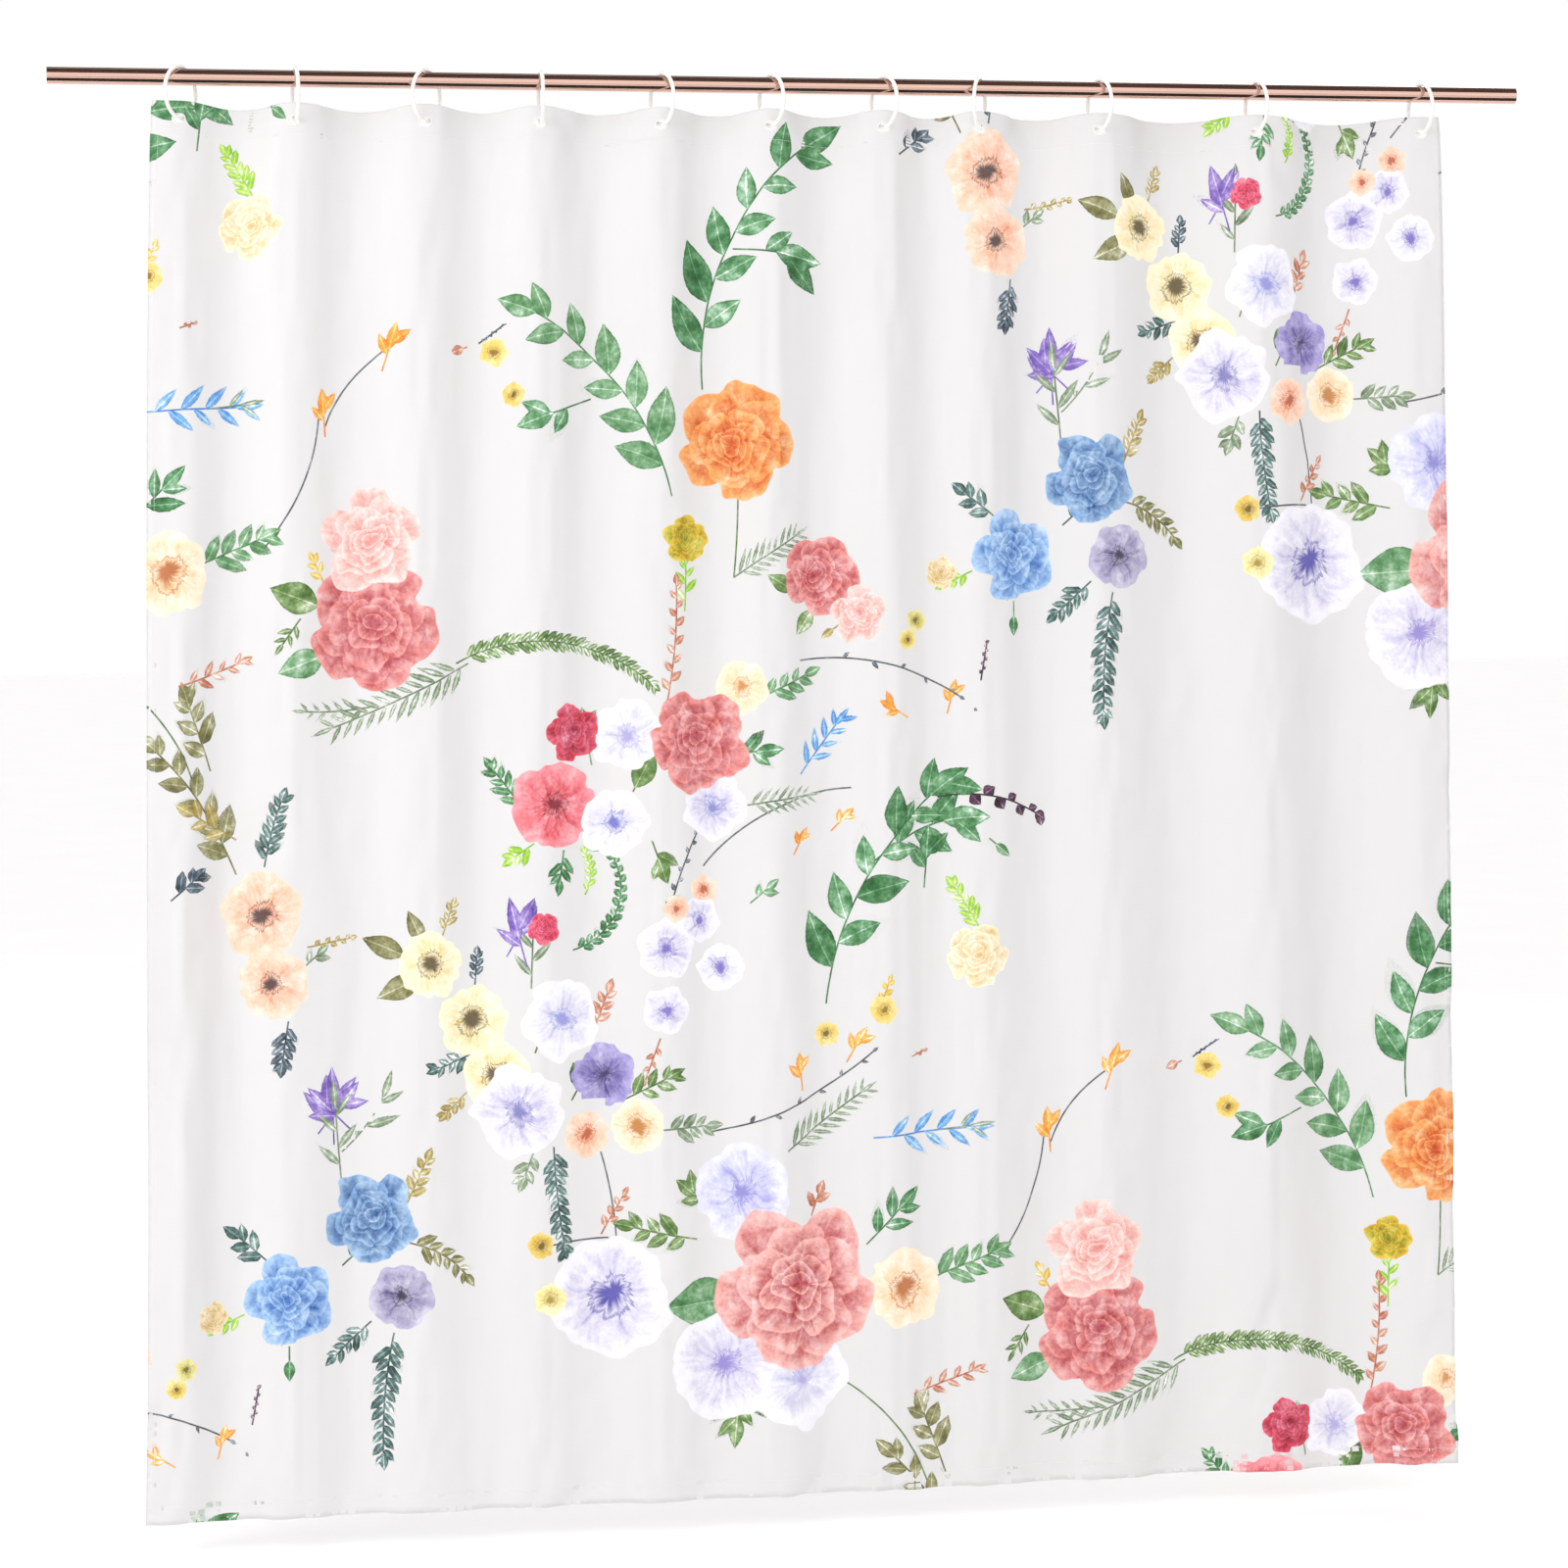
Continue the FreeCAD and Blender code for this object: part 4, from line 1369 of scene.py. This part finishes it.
CARDS = (Card("white_card", (-3.0, 0.8), 90, 2.7, "#ffffff", 1.3),
         Card("black_card", (-1.2, -1.85), 0, 2.1, "#24282a", 1.0),
         Card("brown_card", (-0.6, 1.6), 0, 2.4, "#4a423d", 1.0))


class Studio:
    """Pale floor, soft lights and the camera."""

    FLOOR_Z = -1.905

    def build(self) -> None:
        """Set everything up."""
        bpy.ops.object.select_all(action="DESELECT")
        bpy.ops.mesh.primitive_plane_add(size=60.0, location=(0, 0, self.FLOOR_Z))
        floor = bpy.context.object
        floor.name = "studio_floor"
        r = Recipe("pale_floor_matt")
        speck = r.add("TexNoise", r.add("TexCoord", out="Object"), Scale=3.0, Detail=2.0, out="Fac")
        tone = r.add("MapRange", speck, 0.3, 0.7, 0.985, 1.0)
        shade = r.add("VectorMath SCALE", linear("#ffffff")[:3], Scale=tone)
        r.add("OutputMaterial", r.add("BsdfPrincipled", shade, Roughness=0.7))
        floor.data.materials.append(r.material)
        for card in CARDS:
            self.card(card)
        self.world()
        self.light("key_softbox", (-3.4, -2.6, 0.9), 2.2, 50.0)
        self.light("rear_softbox", (2.4, 3.2, 1.4), 2.2, 45.0)
        sky = bpy.data.lights.new("overhead_diffuser", "SUN")
        sky.energy, sky.angle = 1.95, math.radians(100)
        overhead = bpy.data.objects.new("overhead_diffuser", sky)
        bpy.context.collection.objects.link(overhead)
        overhead.rotation_euler = Euler((math.radians(15), 0, math.radians(-20)))
        overhead.visible_glossy = False
        self.camera()

    def card(self, card: Card) -> None:
        """A card that only mirrors see, so that the plated rod shows bright and dark stripes along it.

        Args:
            card: The card to put up.
        """
        bpy.ops.object.select_all(action="DESELECT")
        bpy.ops.mesh.primitive_plane_add(size=1.0, location=(0, *card.spot),
                                         rotation=(math.radians(card.tilt), 0, 0))
        sheet = bpy.context.object
        sheet.name = card.name
        sheet.scale = (CARD_LENGTH, card.width, 1.0)
        bpy.ops.object.transform_apply(location=True, rotation=True, scale=True)
        r = Recipe(f"{card.name}_glow")
        skin = {"Base Color": linear("#000000"), "Emission Color": linear(card.colour),
                "Emission Strength": card.glow}
        r.add("OutputMaterial", r.add("BsdfPrincipled", **skin))
        sheet.data.materials.append(r.material)
        sheet.visible_camera = sheet.visible_diffuse = False
        sheet.visible_shadow = sheet.visible_transmission = False

    def world(self) -> None:
        """A white studio, darker round the horizon and above it, so that the cloth's folds show."""
        world = bpy.data.worlds.new("white_studio")
        bpy.context.scene.world = world
        world.use_nodes = True
        tree = world.node_tree
        tree.nodes.clear()
        coord = tree.nodes.new("ShaderNodeTexCoord")
        split = tree.nodes.new("ShaderNodeSeparateXYZ")
        ramp = tree.nodes.new("ShaderNodeValToRGB")
        back = tree.nodes.new("ShaderNodeBackground")
        out = tree.nodes.new("ShaderNodeOutputWorld")
        tree.links.new(coord.outputs["Generated"], split.inputs[0])
        tree.links.new(split.outputs["Z"], ramp.inputs[0])
        tree.links.new(ramp.outputs[0], back.inputs[0])
        tree.links.new(back.outputs[0], out.inputs[0])
        stops = ((0.0, "#ffffff"), (0.36, "#ffffff"), (0.46, "#4a403d"), (0.84, "#54494a"),
                 (0.92, "#ffffff"), (1.0, "#ffffff"))
        while len(ramp.color_ramp.elements) < len(stops):
            ramp.color_ramp.elements.new(0.5)
        for element, (place, code) in zip(ramp.color_ramp.elements, stops):
            element.position, element.color = place, linear(code)
        back.inputs[1].default_value = 1.0

    def light(self, name: str, spot: tuple[float, float, float], size: float, power: float) -> None:
        """A square softbox that faces the curtain.

        Args:
            name: Its name.
            spot: Its place.
            size: Side in metres.
            power: Power in watts.
        """
        lamp = bpy.data.lights.new(name, "AREA")
        lamp.size, lamp.energy = size, power
        box = bpy.data.objects.new(name, lamp)
        bpy.context.collection.objects.link(box)
        box.location = spot
        aim = np.array([0, 0, -0.9]) - np.array(spot)
        flat = math.hypot(aim[0], aim[1])
        box.rotation_euler = Euler((math.atan2(flat, -aim[2]), 0, math.atan2(aim[1], aim[0]) - math.pi / 2))

    def camera(self) -> None:
        """Camera a little left of the middle, above half height, looking slightly to the right and down."""
        lens = bpy.data.cameras.new("camera")
        eye = bpy.data.objects.new("camera", lens)
        bpy.context.collection.objects.link(eye)
        lens.sensor_width, lens.lens = 36.0, 83.5
        eye.location = (-0.798, -4.709, -0.574)
        yaw, pitch, roll = math.radians(9.26), math.radians(-4.01), math.radians(0.32)
        eye.rotation_euler = Euler((math.pi / 2 + pitch, roll, -yaw))
        bpy.context.scene.camera = eye
        bpy.context.scene.view_settings.view_transform = "Standard"


def main() -> None:
    """Build and dress every piece in order."""
    cut = Cut()
    plate, plastic = RoseGoldPlate().make(), MouldedPlastic().make()
    dressed = [("rod_tube", plate, "rose_gold_metal")] + [(n, plastic, "white_plastic") for n in RINGS]
    for name, finish, slot in dressed:
        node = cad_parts[name]
        for place in range(len(node.material_slots)):
            node.material_slots[place].material = finish
        LOG.info("%s: dressed", name)
    curtain = Curtain(cut)
    cloth = curtain.panel()
    depths = {"top": cut.top_hem, "bottom": cut.bottom_hem, "left": cut.side_hem, "right": cut.side_hem}
    hems = [curtain.hem(f"{edge}_hem_fold", f"{edge}_hem", edge, deep) for edge, deep in depths.items()]
    sewing = [Seam(f"{edge}_hem_stitches", f"{edge}_hem_seam", edge, deep - cut.seam_inset)
              .build(curtain.drape, curtain.thread) for edge, deep in depths.items()]
    sewing += [WorkedEdge(f"buttonhole_edge_{i:02d}", f"buttonhole_stitching_{i:02d}", eye)
               .build(curtain.drape, curtain.thread) for i, eye in enumerate(cut.eyes, 1)]
    cut.width * MM
    Studio().build()


if __name__ == "__main__":
    main()
